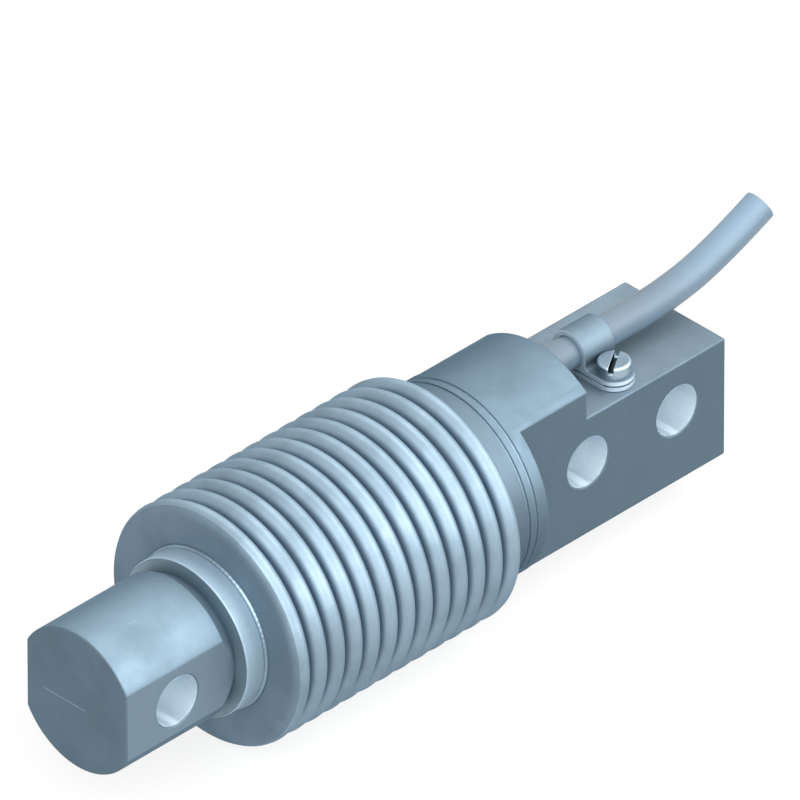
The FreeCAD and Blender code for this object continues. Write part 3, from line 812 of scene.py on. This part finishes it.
def plain_material(name, colours, metallic, rough):
    """A finish that is mottled with a second colour and has a light grain, for small pieces."""
    material, tree, shader = new_material(name, metallic, rough)
    at = Surface(tree)
    cloud = speckle(tree, at.place, PLAIN_SCALE, detail=4.0)
    put(tree, shader["Base Color"], tint(tree, spread(tree, cloud, *PLAIN_BAND), *colours))
    mottled = plus(tree, rough - PLAIN_MOTTLE / 2, times(tree, cloud, PLAIN_MOTTLE))
    put(tree, shader["Roughness"], mottled)
    relief(tree, shader, speckle(tree, at.place, PLAIN_SCALE * PLAIN_GRAIN_FINER), PLAIN_GRAIN)
    return material


# Mesh tools

def new_object(name, data):
    """An object at the origin, in the scene."""
    made = bpy.data.objects.new(name, data)
    bpy.context.scene.collection.objects.link(made)
    return made


def new_piece(name, mesh, material=None, body="root"):
    """A mesh that rides on the part; without a material it keeps its own."""
    piece = new_object(name, mesh)
    if material is not None:
        mesh.materials.clear()
        mesh.materials.append(material)
    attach(piece, body)
    return piece


def baked(name, source):
    """The evaluated mesh of an object, as a plain mesh; the source object is removed."""
    graph = bpy.context.evaluated_depsgraph_get()
    mesh = bpy.data.meshes.new_from_object(source.evaluated_get(graph), depsgraph=graph)
    mesh.name = name
    bpy.data.objects.remove(source)
    return mesh


def smooth(mesh, sharp_degrees):
    """Shades a mesh smoothly, apart from its sharp edges."""
    mesh.polygons.foreach_set("use_smooth", [True] * len(mesh.polygons))
    mesh.set_sharp_from_angle(angle=math.radians(sharp_degrees))


def part_flats(shape, stations):
    """Parts the side flats straight across their bores, in place of the slanting lines there."""
    def on_flat(face):
        return abs(face.normal.y) > PLANE

    for station in stations:
        flats = [face for face in shape.faces if on_flat(face)]
        edges = {edge for face in flats for edge in face.edges}
        corners = {corner for face in flats for corner in face.verts}
        bmesh.ops.bisect_plane(
            shape,
            geom=[*corners, *edges, *flats],
            dist=TINY,
            plane_co=(station * MM, 0.0, 0.0),
            plane_no=(1.0, 0.0, 0.0),
        )
    slanting = [
        edge for edge in shape.edges
        if len(edge.link_faces) == 2
        and all(on_flat(face) for face in edge.link_faces)
        and abs(edge.verts[0].co.x - edge.verts[1].co.x) > TINY
    ]
    bmesh.ops.dissolve_edges(shape, edges=slanting, use_verts=False)


def broken_edges(node_name, piece_name, material, width_at, is_flat, stations=()):
    """A piece that has a node's shape with its edges broken.

    width_at gives each sharp edge its width in millimetres, and is_flat says which faces are
    plane ones, that are shaded by themselves. At the stations the side flats are parted.
    """
    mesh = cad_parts[node_name].data.copy()
    shape = bmesh.new()
    shape.from_mesh(mesh)
    bmesh.ops.remove_doubles(shape, verts=shape.verts, dist=2 * TINY)
    bmesh.ops.dissolve_limit(
        shape,
        angle_limit=math.radians(PLANE_TURN),
        verts=shape.verts,
        edges=shape.edges,
    )
    part_flats(shape, stations)
    weights = shape.edges.layers.float.new("bevel_weight_edge")
    for edge in shape.edges:
        if edge.is_convex and edge.calc_face_angle(0.0) > math.radians(SHARP_TURN):
            middle = (edge.verts[0].co + edge.verts[1].co) / 2 / MM
            edge[weights] = width_at(middle) / WIDEST_EDGE
    shape.to_mesh(mesh)
    shape.free()
    source = new_object(piece_name, mesh)
    bevel = source.modifiers.new("Edges", "BEVEL")
    bevel.limit_method = "WEIGHT"
    bevel.width = WIDEST_EDGE * MM
    bevel.segments = 2
    bevel.use_clamp_overlap = False
    bevel.harden_normals = False
    result = baked(piece_name, source)
    smooth(result, sharp_degrees=24.0)
    for face in result.polygons:
        if is_flat(face.center / MM, face.normal):
            face.use_smooth = False
    return new_piece(piece_name, result, material)


# Geometry node trees

def place_rows(tree, rows, columns):
    """A grid with its row number and its turn about the axis, ready to be bent."""
    grid = tree.nodes.new("GeometryNodeMeshGrid")
    put(tree, grid.inputs["Vertices X"], rows)
    put(tree, grid.inputs["Vertices Y"], columns)
    index = tree.nodes.new("GeometryNodeInputIndex").outputs[0]
    row = calc(tree, "FLOOR", calc(tree, "DIVIDE", plus(tree, index, 0.5), columns))
    column = minus(tree, index, times(tree, row, columns))
    share = calc(tree, "DIVIDE", column, minus(tree, columns, 1.0))
    return grid.outputs["Mesh"], row, times(tree, share, 2.0 * math.pi)


def bend_round(tree, mesh, x, radius, turn):
    """Moves each grid point to its place at a radius round the X axis."""
    combine = tree.nodes.new("ShaderNodeCombineXYZ")
    put(tree, combine.inputs[0], x)
    put(tree, combine.inputs[1], times(tree, radius, calc(tree, "COSINE", turn)))
    put(tree, combine.inputs[2], times(tree, radius, calc(tree, "SINE", turn)))
    move = tree.nodes.new("GeometryNodeSetPosition")
    put(tree, move.inputs["Geometry"], mesh)
    put(tree, move.inputs["Position"], scaled(tree, combine.outputs[0], MM))
    return move.outputs["Geometry"]


def bellows_skin_group():
    """One skin of the bellows, from its front seat over all crests to the end of its cuff.

    The row number runs along the skin: one unit to the front corner, one up the front wall, four
    for each crest with its root and the walls beside it but one for the last crest, one down the
    rear wall, one along the cuff and one in.
    """
    tree, given, end = new_group(
        "Bellows skin",
        "GeometryNodeTree",
        {
            "Crests": WHOLE,
            "Pitch": NUMBER,
            "Crest radius": NUMBER,
            "Crest centre": NUMBER,
            "Root centre": NUMBER,
            "Seat radius": NUMBER,
            "Cuff radius": NUMBER,
            "Cuff length": NUMBER,
            "Start": NUMBER,
            "Front lip": NUMBER,
            "Rear lip": NUMBER,
            "Rows per bend": WHOLE,
            "Columns": WHOLE,
        },
        {"Skin": GEOMETRY},
    )
    per_crest = 4.0
    before = 2.0
    after = 3.0
    bends = minus(tree, times(tree, given["Crests"], per_crest), per_crest - 1.0)
    units = plus(tree, bends, before + after)
    rows = plus(tree, times(tree, units, given["Rows per bend"]), 1.0)
    mesh, row, turn = place_rows(tree, rows, given["Columns"])
    step = minus(tree, calc(tree, "DIVIDE", row, given["Rows per bend"]), before)
    on_bends = calc(tree, "MINIMUM", calc(tree, "MAXIMUM", step, 0.0), bends)
    cell = calc(tree, "FLOOR", calc(tree, "DIVIDE", on_bends, per_crest))
    part = minus(tree, on_bends, times(tree, cell, per_crest))
    crest_turn = times(tree, times(tree, part, 1.0, clamp=True), math.pi)
    down = minus(tree, part, 1.0, clamp=True)
    root_turn = times(tree, minus(tree, part, 2.0, clamp=True), math.pi)
    up = minus(tree, part, 3.0, clamp=True)
    root_radius = minus(tree, calc(tree, "DIVIDE", given["Pitch"], 2.0), given["Crest radius"])
    wall = minus(tree, given["Crest centre"], given["Root centre"])
    over = times(tree, given["Crest radius"], minus(tree, 1.0, calc(tree, "COSINE", crest_turn)))
    under = times(tree, root_radius, minus(tree, 1.0, calc(tree, "COSINE", root_turn)))
    cuff = minus(tree, minus(tree, step, bends), 1.0, clamp=True)
    lip = minus(tree, -1.0, step, clamp=True)
    x = plus(tree, given["Start"], times(tree, cell, given["Pitch"]))
    for piece in (
        over,
        under,
        times(tree, cuff, given["Cuff length"]),
        times(tree, lip, given["Front lip"]),
    ):
        x = plus(tree, x, piece)
    front = times(tree, step, -1.0, clamp=True)
    rear = minus(tree, step, bends, clamp=True)
    last = minus(tree, minus(tree, step, bends), 2.0, clamp=True)
    crest_rise = times(tree, given["Crest radius"], calc(tree, "SINE", crest_turn))
    root_fall = times(tree, root_radius, calc(tree, "SINE", root_turn))
    radius = minus(tree, plus(tree, given["Crest centre"], crest_rise), root_fall)
    radius = plus(tree, radius, times(tree, minus(tree, up, down), wall))
    for share, target in ((front, "Seat radius"), (rear, "Cuff radius")):
        fall = minus(tree, given["Crest centre"], given[target])
        radius = minus(tree, radius, times(tree, share, fall))
    radius = minus(tree, radius, times(tree, last, given["Rear lip"]))
    put(tree, end.inputs["Skin"], bend_round(tree, mesh, x, radius, turn))
    return tree


def bellows_tree():
    """The closed bellows: outer and inner skin, joined at the front seat and the cuff's end."""
    tree, given, end = new_group(
        "Bellows",
        "GeometryNodeTree",
        {
            "Geometry": GEOMETRY,
            "Crests": CREST_COUNT,
            "Pitch": CREST_PITCH,
            "Crest radius": CREST_RADIUS,
            "Reach": CREST_REACH,
            "Body radius": BODY_RADIUS,
            "Seat radius": COLLAR_RADIUS,
            "Wall": BELLOWS_WALL,
            "Cuff length": CUFF_LENGTH,
            "Start": X_BELLOWS,
            "Material": MATERIAL,
        },
        {"Geometry": GEOMETRY},
    )
    skin = bellows_skin_group()
    crest_centre = minus(tree, given["Reach"], given["Crest radius"])
    root_radius = minus(tree, calc(tree, "DIVIDE", given["Pitch"], 2.0), given["Crest radius"])
    root_centre = plus(tree, given["Body radius"], root_radius)
    join = tree.nodes.new("GeometryNodeJoinGeometry")
    for inner in (False, True):
        node = tree.nodes.new("GeometryNodeGroup")
        node.node_tree = skin
        wall = given["Wall"]
        inwards = times(tree, wall, 1.0 if inner else 0.0)
        values = {
            "Crests": given["Crests"],
            "Pitch": given["Pitch"],
            "Crest radius": minus(tree, given["Crest radius"], inwards),
            "Crest centre": crest_centre,
            "Root centre": root_centre,
            "Seat radius": given["Seat radius"],
            "Cuff radius": minus(tree, given["Body radius"], inwards),
            "Cuff length": plus(tree, given["Cuff length"], inwards),
            "Start": plus(tree, given["Start"], inwards),
            "Front lip": 0.0 if inner else wall,
            "Rear lip": 0.0 if inner else wall,
            "Rows per bend": INNER_ROWS if inner else OUTER_ROWS,
            "Columns": BELLOWS_COLUMNS,
        }
        for title, value in values.items():
            put(tree, node.inputs[title], value)
        geometry = node.outputs["Skin"]
        if inner:
            flip = tree.nodes.new("GeometryNodeFlipFaces")
            put(tree, flip.inputs["Mesh"], geometry)
            geometry = flip.outputs["Mesh"]
        tree.links.new(geometry, join.inputs[0])
    finish_tree(tree, join.outputs[0], given["Material"], end)
    return tree


def finish_tree(tree, geometry, material, end):
    """Merges the seams where a bent grid meets itself, and sets its material."""
    merge = tree.nodes.new("GeometryNodeMergeByDistance")
    put(tree, merge.inputs["Geometry"], geometry)
    merge.inputs["Distance"].default_value = SEAM * MM
    put(tree, end.inputs["Geometry"], painted(tree, merge.outputs[0], material))


def weld_tree():
    """A welded ring: a rounded bead whose scales overlap all the way round."""
    tree, given, end = new_group(
        "Weld bead",
        "GeometryNodeTree",
        {
            "Geometry": GEOMETRY,
            "Place": X_BELLOWS,
            "Radius": COLLAR_RADIUS,
            "Bead": SEAT_BEAD,
            "Scales": WELD_SCALES,
            "Columns": 901,
            "Rows": 13,
            "Material": MATERIAL,
        },
        {"Geometry": GEOMETRY},
    )
    mesh, row, turn = place_rows(tree, given["Rows"], given["Columns"])
    share = calc(tree, "DIVIDE", row, minus(tree, given["Rows"], 1.0))
    around = times(tree, share, 2.0 * math.pi)
    lag = times(tree, calc(tree, "SINE", around), SCALE_LAG)
    scale = calc(tree, "DIVIDE", times(tree, turn, given["Scales"]), 2.0 * math.pi)
    rise = calc(tree, "FRACT", plus(tree, scale, lag))
    swell = calc(tree, "SINE", times(tree, rise, math.pi))
    fullness = plus(tree, 1.0 - SCALE_SWELL, times(tree, swell, SCALE_SWELL))
    thick = times(tree, given["Bead"], fullness)
    x = plus(tree, given["Place"], times(tree, thick, calc(tree, "SINE", around)))
    radius = plus(tree, given["Radius"], times(tree, thick, calc(tree, "COSINE", around)))
    finish_tree(tree, bend_round(tree, mesh, x, radius, turn), given["Material"], end)
    return tree


def strand_ring(tree, count, reach, radius, length):
    """Cut strands that stand side by side on a circle, whose radius is their reach."""
    circle = tree.nodes.new("GeometryNodeMeshCircle")
    put(tree, circle.inputs["Vertices"], count)
    put(tree, circle.inputs["Radius"], times(tree, reach, MM))
    spread_out = tree.nodes.new("GeometryNodeInstanceOnPoints")
    put(tree, spread_out.inputs["Points"], circle.outputs["Mesh"])
    put(tree, spread_out.inputs["Instance"], rod_mesh(tree, radius, length, STRAND_SIDES))
    return spread_out.outputs["Instances"]


def rod_mesh(tree, radius, length, sides):
    """A rod whose length is half above and half below its middle."""
    node = tree.nodes.new("GeometryNodeMeshCylinder")
    node.inputs["Vertices"].default_value = sides
    put(tree, node.inputs["Radius"], times(tree, radius, MM))
    put(tree, node.inputs["Depth"], times(tree, length, MM))
    return node.outputs["Mesh"]


def stand_up(tree, geometry, shift, lean, place):
    """Shifts a shape on its own base, leans it about Y and takes it to its place, in millimetres."""
    first = tree.nodes.new("GeometryNodeTransform")
    put(tree, first.inputs["Geometry"], geometry)
    put(tree, first.inputs["Translation"], scaled(tree, shift, MM))
    second = tree.nodes.new("GeometryNodeTransform")
    put(tree, second.inputs["Geometry"], first.outputs["Geometry"])
    put(tree, second.inputs["Translation"], scaled(tree, place, MM))
    put(tree, second.inputs["Rotation"], lean)
    return second.outputs["Geometry"]


def painted(tree, geometry, material):
    """A shape with its instances made real and its material set."""
    realize = tree.nodes.new("GeometryNodeRealizeInstances")
    put(tree, realize.inputs["Geometry"], geometry)
    paint = tree.nodes.new("GeometryNodeSetMaterial")
    put(tree, paint.inputs["Geometry"], realize.outputs[0])
    put(tree, paint.inputs["Material"], material)
    return paint.outputs[0]


def screen_tree():
    """The cut strands of the cable's screen, side by side round its cores."""
    tree, given, end = new_group(
        "Cut screen",
        "GeometryNodeTree",
        {
            "Geometry": GEOMETRY,
            "Strands": 44,
            "Ring radius": 1.8,
            "Strand radius": 0.08,
            "Length": 0.4,
            "Lean": VECTOR,
            "Place": VECTOR,
            "Material": MATERIAL,
        },
        {"Geometry": GEOMETRY},
    )
    sizes = [given[title] for title in ("Strands", "Ring radius", "Strand radius", "Length")]
    ring = strand_ring(tree, *sizes)
    whole = stand_up(tree, ring, (0.0, 0.0, 0.0), given["Lean"], given["Place"])
    put(tree, end.inputs["Geometry"], painted(tree, whole, given["Material"]))
    return tree


def core_tree():
    """One cut core: its insulation, and in it seven strands that stand a little proud."""
    tree, given, end = new_group(
        "Cut core",
        "GeometryNodeTree",
        {
            "Geometry": GEOMETRY,
            "Core radius": 0.45,
            "Strands": 6,
            "Strand radius": 0.09,
            "Length": 0.5,
            "Proud": 0.15,
            "Shift": VECTOR,
            "Lean": VECTOR,
            "Place": VECTOR,
            "Insulation": MATERIAL,
            "Copper": MATERIAL,
        },
        {"Geometry": GEOMETRY},
    )
    sleeve = rod_mesh(tree, given["Core radius"], given["Length"], CORE_SIDES)
    full = plus(tree, given["Length"], times(tree, given["Proud"], 2.0))
    apart = times(tree, given["Strand radius"], 2.0)
    strands = tree.nodes.new("GeometryNodeJoinGeometry")
    ring = strand_ring(tree, given["Strands"], apart, given["Strand radius"], full)
    middle = rod_mesh(tree, given["Strand radius"], full, STRAND_SIDES)
    tree.links.new(ring, strands.inputs[0])
    tree.links.new(middle, strands.inputs[0])
    both = tree.nodes.new("GeometryNodeJoinGeometry")
    for shape, material in ((sleeve, "Insulation"), (strands.outputs[0], "Copper")):
        placed = stand_up(tree, shape, given["Shift"], given["Lean"], given["Place"])
        tree.links.new(painted(tree, placed, given[material]), both.inputs[0])
    put(tree, end.inputs["Geometry"], both.outputs[0])
    return tree


def grown(name, tree, values):
    """The plain mesh that a node tree makes with the given inputs."""
    holder = new_object(name, bpy.data.meshes.new(name))
    modifier = holder.modifiers.new("Nodes", "NODES")
    modifier.node_group = tree
    for item in tree.interface.items_tree:
        if item.item_type == "SOCKET" and item.in_out == "INPUT" and item.name in values:
            modifier[item.identifier] = values[item.name]
    return baked(name, holder)


def face_outwards(mesh):
    """Turns the faces of a closed mesh outwards."""
    shape = bmesh.new()
    shape.from_mesh(mesh)
    bmesh.ops.recalc_face_normals(shape, faces=shape.faces)
    shape.to_mesh(mesh)
    shape.free()


# Pieces

def make_cable(material):
    """The cable on its smooth line, with its points from the solid's route."""
    line = bpy.data.curves.new("cable_line", "CURVE")
    line.dimensions = "3D"
    spline = line.splines.new("NURBS")
    spline.points.add(len(CABLE_POINTS) - 1)
    for place, (x, z) in zip(spline.points, CABLE_POINTS):
        place.co = (x * MM, 0.0, z * MM, 1.0)
    spline.order_u = 3
    spline.use_endpoint_u = True
    spline.resolution_u = 24
    line.bevel_depth = CABLE_DIAMETER / 2 * MM
    line.bevel_resolution = 10
    line.use_fill_caps = True
    line.materials.append(material)
    piece = new_object("cable_run", line)
    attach(piece, "root")
    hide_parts("cable")
    return piece


def make_cut_end(screen, copper, insulation):
    """What shows in the cable's cut: the screen's strands and six cores."""
    (x_before, z_before), (x_end, z_end) = CABLE_POINTS[-2:]
    lean = (0.0, math.atan2(x_end - x_before, z_end - z_before), 0.0)
    place = (x_end, 0.0, z_end)
    values = {"Lean": lean, "Place": place, "Material": screen}
    mesh = grown("cut_screen", screen_tree(), values)
    smooth(mesh, sharp_degrees=40.0)
    pieces = [new_piece("cut_screen", mesh)]
    tree = core_tree()
    for number, (colour, material) in enumerate(insulation.items()):
        turn = math.radians(360.0 / len(insulation) * number)
        values = {
            "Shift": (CORE_CIRCLE * math.cos(turn), CORE_CIRCLE * math.sin(turn), 0.0),
            "Lean": lean,
            "Place": place,
            "Insulation": material,
            "Copper": copper,
        }
        mesh = grown(f"cut_core_{colour}", tree, values)
        smooth(mesh, sharp_degrees=40.0)
        pieces.append(new_piece(f"cut_core_{colour}", mesh))
    return pieces


def make_clip(material):
    """The cable clip with its sheared edges broken."""
    def is_flat(place, normal):
        return abs(normal.x) > PLANE or abs(normal.z) > PLANE

    def width_at(place):
        return CLIP_EDGE

    piece = broken_edges("cable_clip", "clip_finished", material, width_at, is_flat)
    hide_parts("cable_clip")


def make_screw(material):
    """The clip screw with the edges of its head and slot broken."""
    def is_flat(place, normal):
        return abs(normal.z) > PLANE

    def width_at(place):
        return SCREW_EDGE if place.z > SCREW_TOP - SCREW_EDGE_DEPTH else 0.0

    piece = broken_edges("clip_screw", "screw_finished", material, width_at, is_flat)
    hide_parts("clip_screw")


def body_edge_width(place):
    """How wide the body's edge is broken at a place; 0 where it stays sharp."""
    radius = math.hypot(place.y, place.z)
    for (start, end), width in ((NECK_SPAN, NECK_EDGE), (RING_SPAN, RING_EDGE), (BEAM_SPAN, 0.0)):
        if start < place.x < end:
            return width
    at_line = place.x < LINE_END and radius < LINE_REACH
    beside_cable = abs(place.y) < CABLE_BORE_SIDE and place.z > CABLE_BORE_LOW
    at_cable_bore = place.x > CABLE_BORE_START and radius < CABLE_BORE_REACH and beside_cable
    from_screw = math.hypot(place.x - SCREW_X, place.y - SCREW_Y)
    at_screw_hole = place.z < RECESS_FACE and from_screw < SCREW_HOLE_REACH
    return 0.0 if at_line or at_cable_bore or at_screw_hole else OUTER_EDGE


def make_body(material):
    """The measuring body with its edges broken, wide on the outer edges and finer in the grooves."""
    def is_flat(place, normal):
        end_face = abs(normal.x) > PLANE
        side_flat = abs(normal.y) > PLANE and abs(place.y) < FLAT_FACE
        recess_floor = normal.z > PLANE and place.z < RECESS_FACE
        return end_face or side_flat or recess_floor

    stations = [centre + PART_LINE_OFFSET for centre in BORES_X]
    piece = broken_edges(
        "measuring_body",
        "body_finished",
        material,
        body_edge_width,
        is_flat,
        stations,
    )
    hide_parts("measuring_body")


def make_bellows(material):
    """The formed bellows with both its skins."""
    mesh = grown("bellows_formed", bellows_tree(), {"Material": material})
    face_outwards(mesh)
    smooth(mesh, sharp_degrees=40.0)
    piece = new_piece("bellows_formed", mesh)
    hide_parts("bellows")


def make_weld(material):
    """The bead that joins the bellows' front seat to the collar."""
    mesh = grown("weld_front", weld_tree(), {"Material": material})
    face_outwards(mesh)
    smooth(mesh, sharp_degrees=60.0)
    new_piece("weld_front", mesh)


def finish_nodes(finishes):
    """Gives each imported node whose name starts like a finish's key that finish."""
    for name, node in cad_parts.items():
        for start, material in finishes.items():
            if name.startswith(start):
                for place in node.material_slots:
                    place.material = material


# Studio

def make_floor():
    """A white floor that shows nothing but the object's shadow."""
    mesh = bpy.data.meshes.new("floor")
    low = -(CREST_REACH + FLOOR_GAP) * MM
    turns = ((-1, -1), (1, -1), (1, 1), (-1, 1))
    corners = [(x * FLOOR_HALF, y * FLOOR_HALF, low) for x, y in turns]
    mesh.from_pydata(corners, [], [(0, 1, 2, 3)])
    floor = new_object("floor", mesh)
    material, tree, shader = new_material("White floor", 0.0, FLOOR_ROUGHNESS, Specular_IOR_Level=0.0)
    shader["Base Color"].default_value = (FLOOR_WHITE, FLOOR_WHITE, FLOOR_WHITE, 1.0)
    glow = tree.nodes.new("ShaderNodeEmission")
    glow.inputs["Strength"].default_value = 1.0
    blend = tree.nodes.new("ShaderNodeMixShader")
    put(tree, blend.inputs[0], times(tree, seen_rays(tree), FLOOR_GLOW))
    put(tree, blend.inputs[1], tree.nodes["Principled BSDF"].outputs[0])
    put(tree, blend.inputs[2], glow.outputs[0])
    put(tree, tree.nodes["Material Output"].inputs["Surface"], blend.outputs[0])
    mesh.materials.append(material)


def seen_rays(tree):
    """1 for rays of the camera, of a reflection and of what is seen through glass."""
    path = tree.nodes.new("ShaderNodeLightPath").outputs
    seen = calc(tree, "MAXIMUM", path["Is Camera Ray"], path["Is Glossy Ray"])
    return calc(tree, "MAXIMUM", seen, path["Is Transmission Ray"])


def make_world():
    """Plain white light all round, that is seen as pure white."""
    world = bpy.data.worlds.new("Studio")
    bpy.context.scene.world = world
    world.use_nodes = True
    tree = world.node_tree
    background = tree.nodes["Background"]
    background.inputs["Color"].default_value = (1.0, 1.0, 1.0, 1.0)
    strength = between(tree, seen_rays(tree), WORLD_LIGHT, WORLD_SEEN)
    tree.links.new(strength, background.inputs["Strength"])


def make_lamp(name, place, size, power):
    """A soft panel that lights the middle of the object."""
    lamp = bpy.data.lights.new(name, "AREA")
    lamp.shape = "RECTANGLE"
    lamp.size, lamp.size_y = size
    lamp.energy = power
    holder = new_object(name, lamp)
    holder.location = place
    towards = Vector(LAMP_AIM) - Vector(place)
    holder.rotation_euler = towards.to_track_quat("-Z", "Y").to_euler()


def make_camera():
    """A long lens, close to a parallel view, along the photograph's direction."""
    azimuth, elevation = math.radians(AZIMUTH), math.radians(ELEVATION)
    back = Vector((
        math.sin(azimuth) * math.cos(elevation),
        -math.cos(azimuth) * math.cos(elevation),
        math.sin(elevation),
    ))
    data = bpy.data.cameras.new("camera")
    data.lens = LENS
    data.sensor_width = SENSOR
    camera = new_object("camera", data)
    camera.location = Vector(VIEW_AIM) + back * (VIEW_WIDTH * LENS / SENSOR)
    camera.rotation_euler = (-back).to_track_quat("-Z", "Y").to_euler()
    bpy.context.scene.camera = camera


def main():
    """Dresses the load cell, and sets up the studio round it."""
    bpy.context.scene.view_settings.view_transform = "Standard"
    make_camera()
    groups = {"lathe": lathe_marks_group(), "mill": mill_marks_group(), "handling": handling_group()}
    cable = make_cable(jacket_material(groups))
    posts = plain_material("Tinned posts", TINNED_POSTS, metallic=1.0, rough=0.35)
    copper = plain_material("Copper leads", COPPER_LEADS, metallic=1.0, rough=0.35)
    cores = {
        colour: plain_material(f"{colour.capitalize()} core", colours, metallic=0.0, rough=0.35)
        for colour, colours in CORE_COLOURS.items()
    }
    cut_end = make_cut_end(posts, copper, cores)
    make_body(steel_material(
        "Body steel", groups, body_tones, stain=0.18, rough=0.56, seed=(0.0, 0.0, 0.0), milled=True,
    ))
    make_clip(steel_material(
        "Clip steel", groups, clip_tones, stain=0.15, rough=0.62, seed=(9.0, 4.0, 2.0), marks=0.002,
    ))
    screw_steel = steel_material(
        "Screw steel", groups, screw_tones, stain=0.40, rough=0.42, seed=(5.0, 8.0, 1.0), marks=0.002,
    )
    make_screw(screw_steel)
    make_bellows(bellows_material(groups))
    weld_tone = one_tone(BELLOWS_STEEL)
    make_weld(steel_material(
        "Weld steel", groups, weld_tone, stain=0.50, rough=0.46, seed=(2.0, 6.0, 5.0), marks=0.001,
    ))
    finish_nodes({
        "board_screw": screw_steel,
        "gland_ring": steel_material(
            "Gland steel", groups, one_tone(STEEL), stain=0.22, rough=0.38, seed=(7.0, 3.0, 8.0),
        ),
        "cable_seal": plain_material("Seal rubber", SEAL_RUBBER, metallic=0.0, rough=0.6),
        "terminal_board": plain_material("Board laminate", BOARD_LAMINATE, metallic=0.0, rough=0.5),
        "solder_terminals": posts,
        "gauge_leads": copper,
        "strain_gauge": plain_material("Gauge film", GAUGE_FILM, metallic=0.0, rough=0.4),
        "trim_resistor": plain_material("Resistor body", RESISTOR_BODY, metallic=0.0, rough=0.4),
        **{f"cable_core_{colour}": material for colour, material in cores.items()},
    })
    make_floor()
    make_world()
    for name, (place, size, power) in LAMPS.items():
        make_lamp(name, place, size, power)


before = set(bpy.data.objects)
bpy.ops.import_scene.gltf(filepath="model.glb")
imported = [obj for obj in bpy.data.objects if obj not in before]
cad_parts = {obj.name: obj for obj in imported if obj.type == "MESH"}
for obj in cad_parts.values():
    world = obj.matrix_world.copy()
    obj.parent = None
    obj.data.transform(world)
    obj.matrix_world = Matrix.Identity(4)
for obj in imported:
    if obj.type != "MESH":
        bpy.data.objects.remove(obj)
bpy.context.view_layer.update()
main()
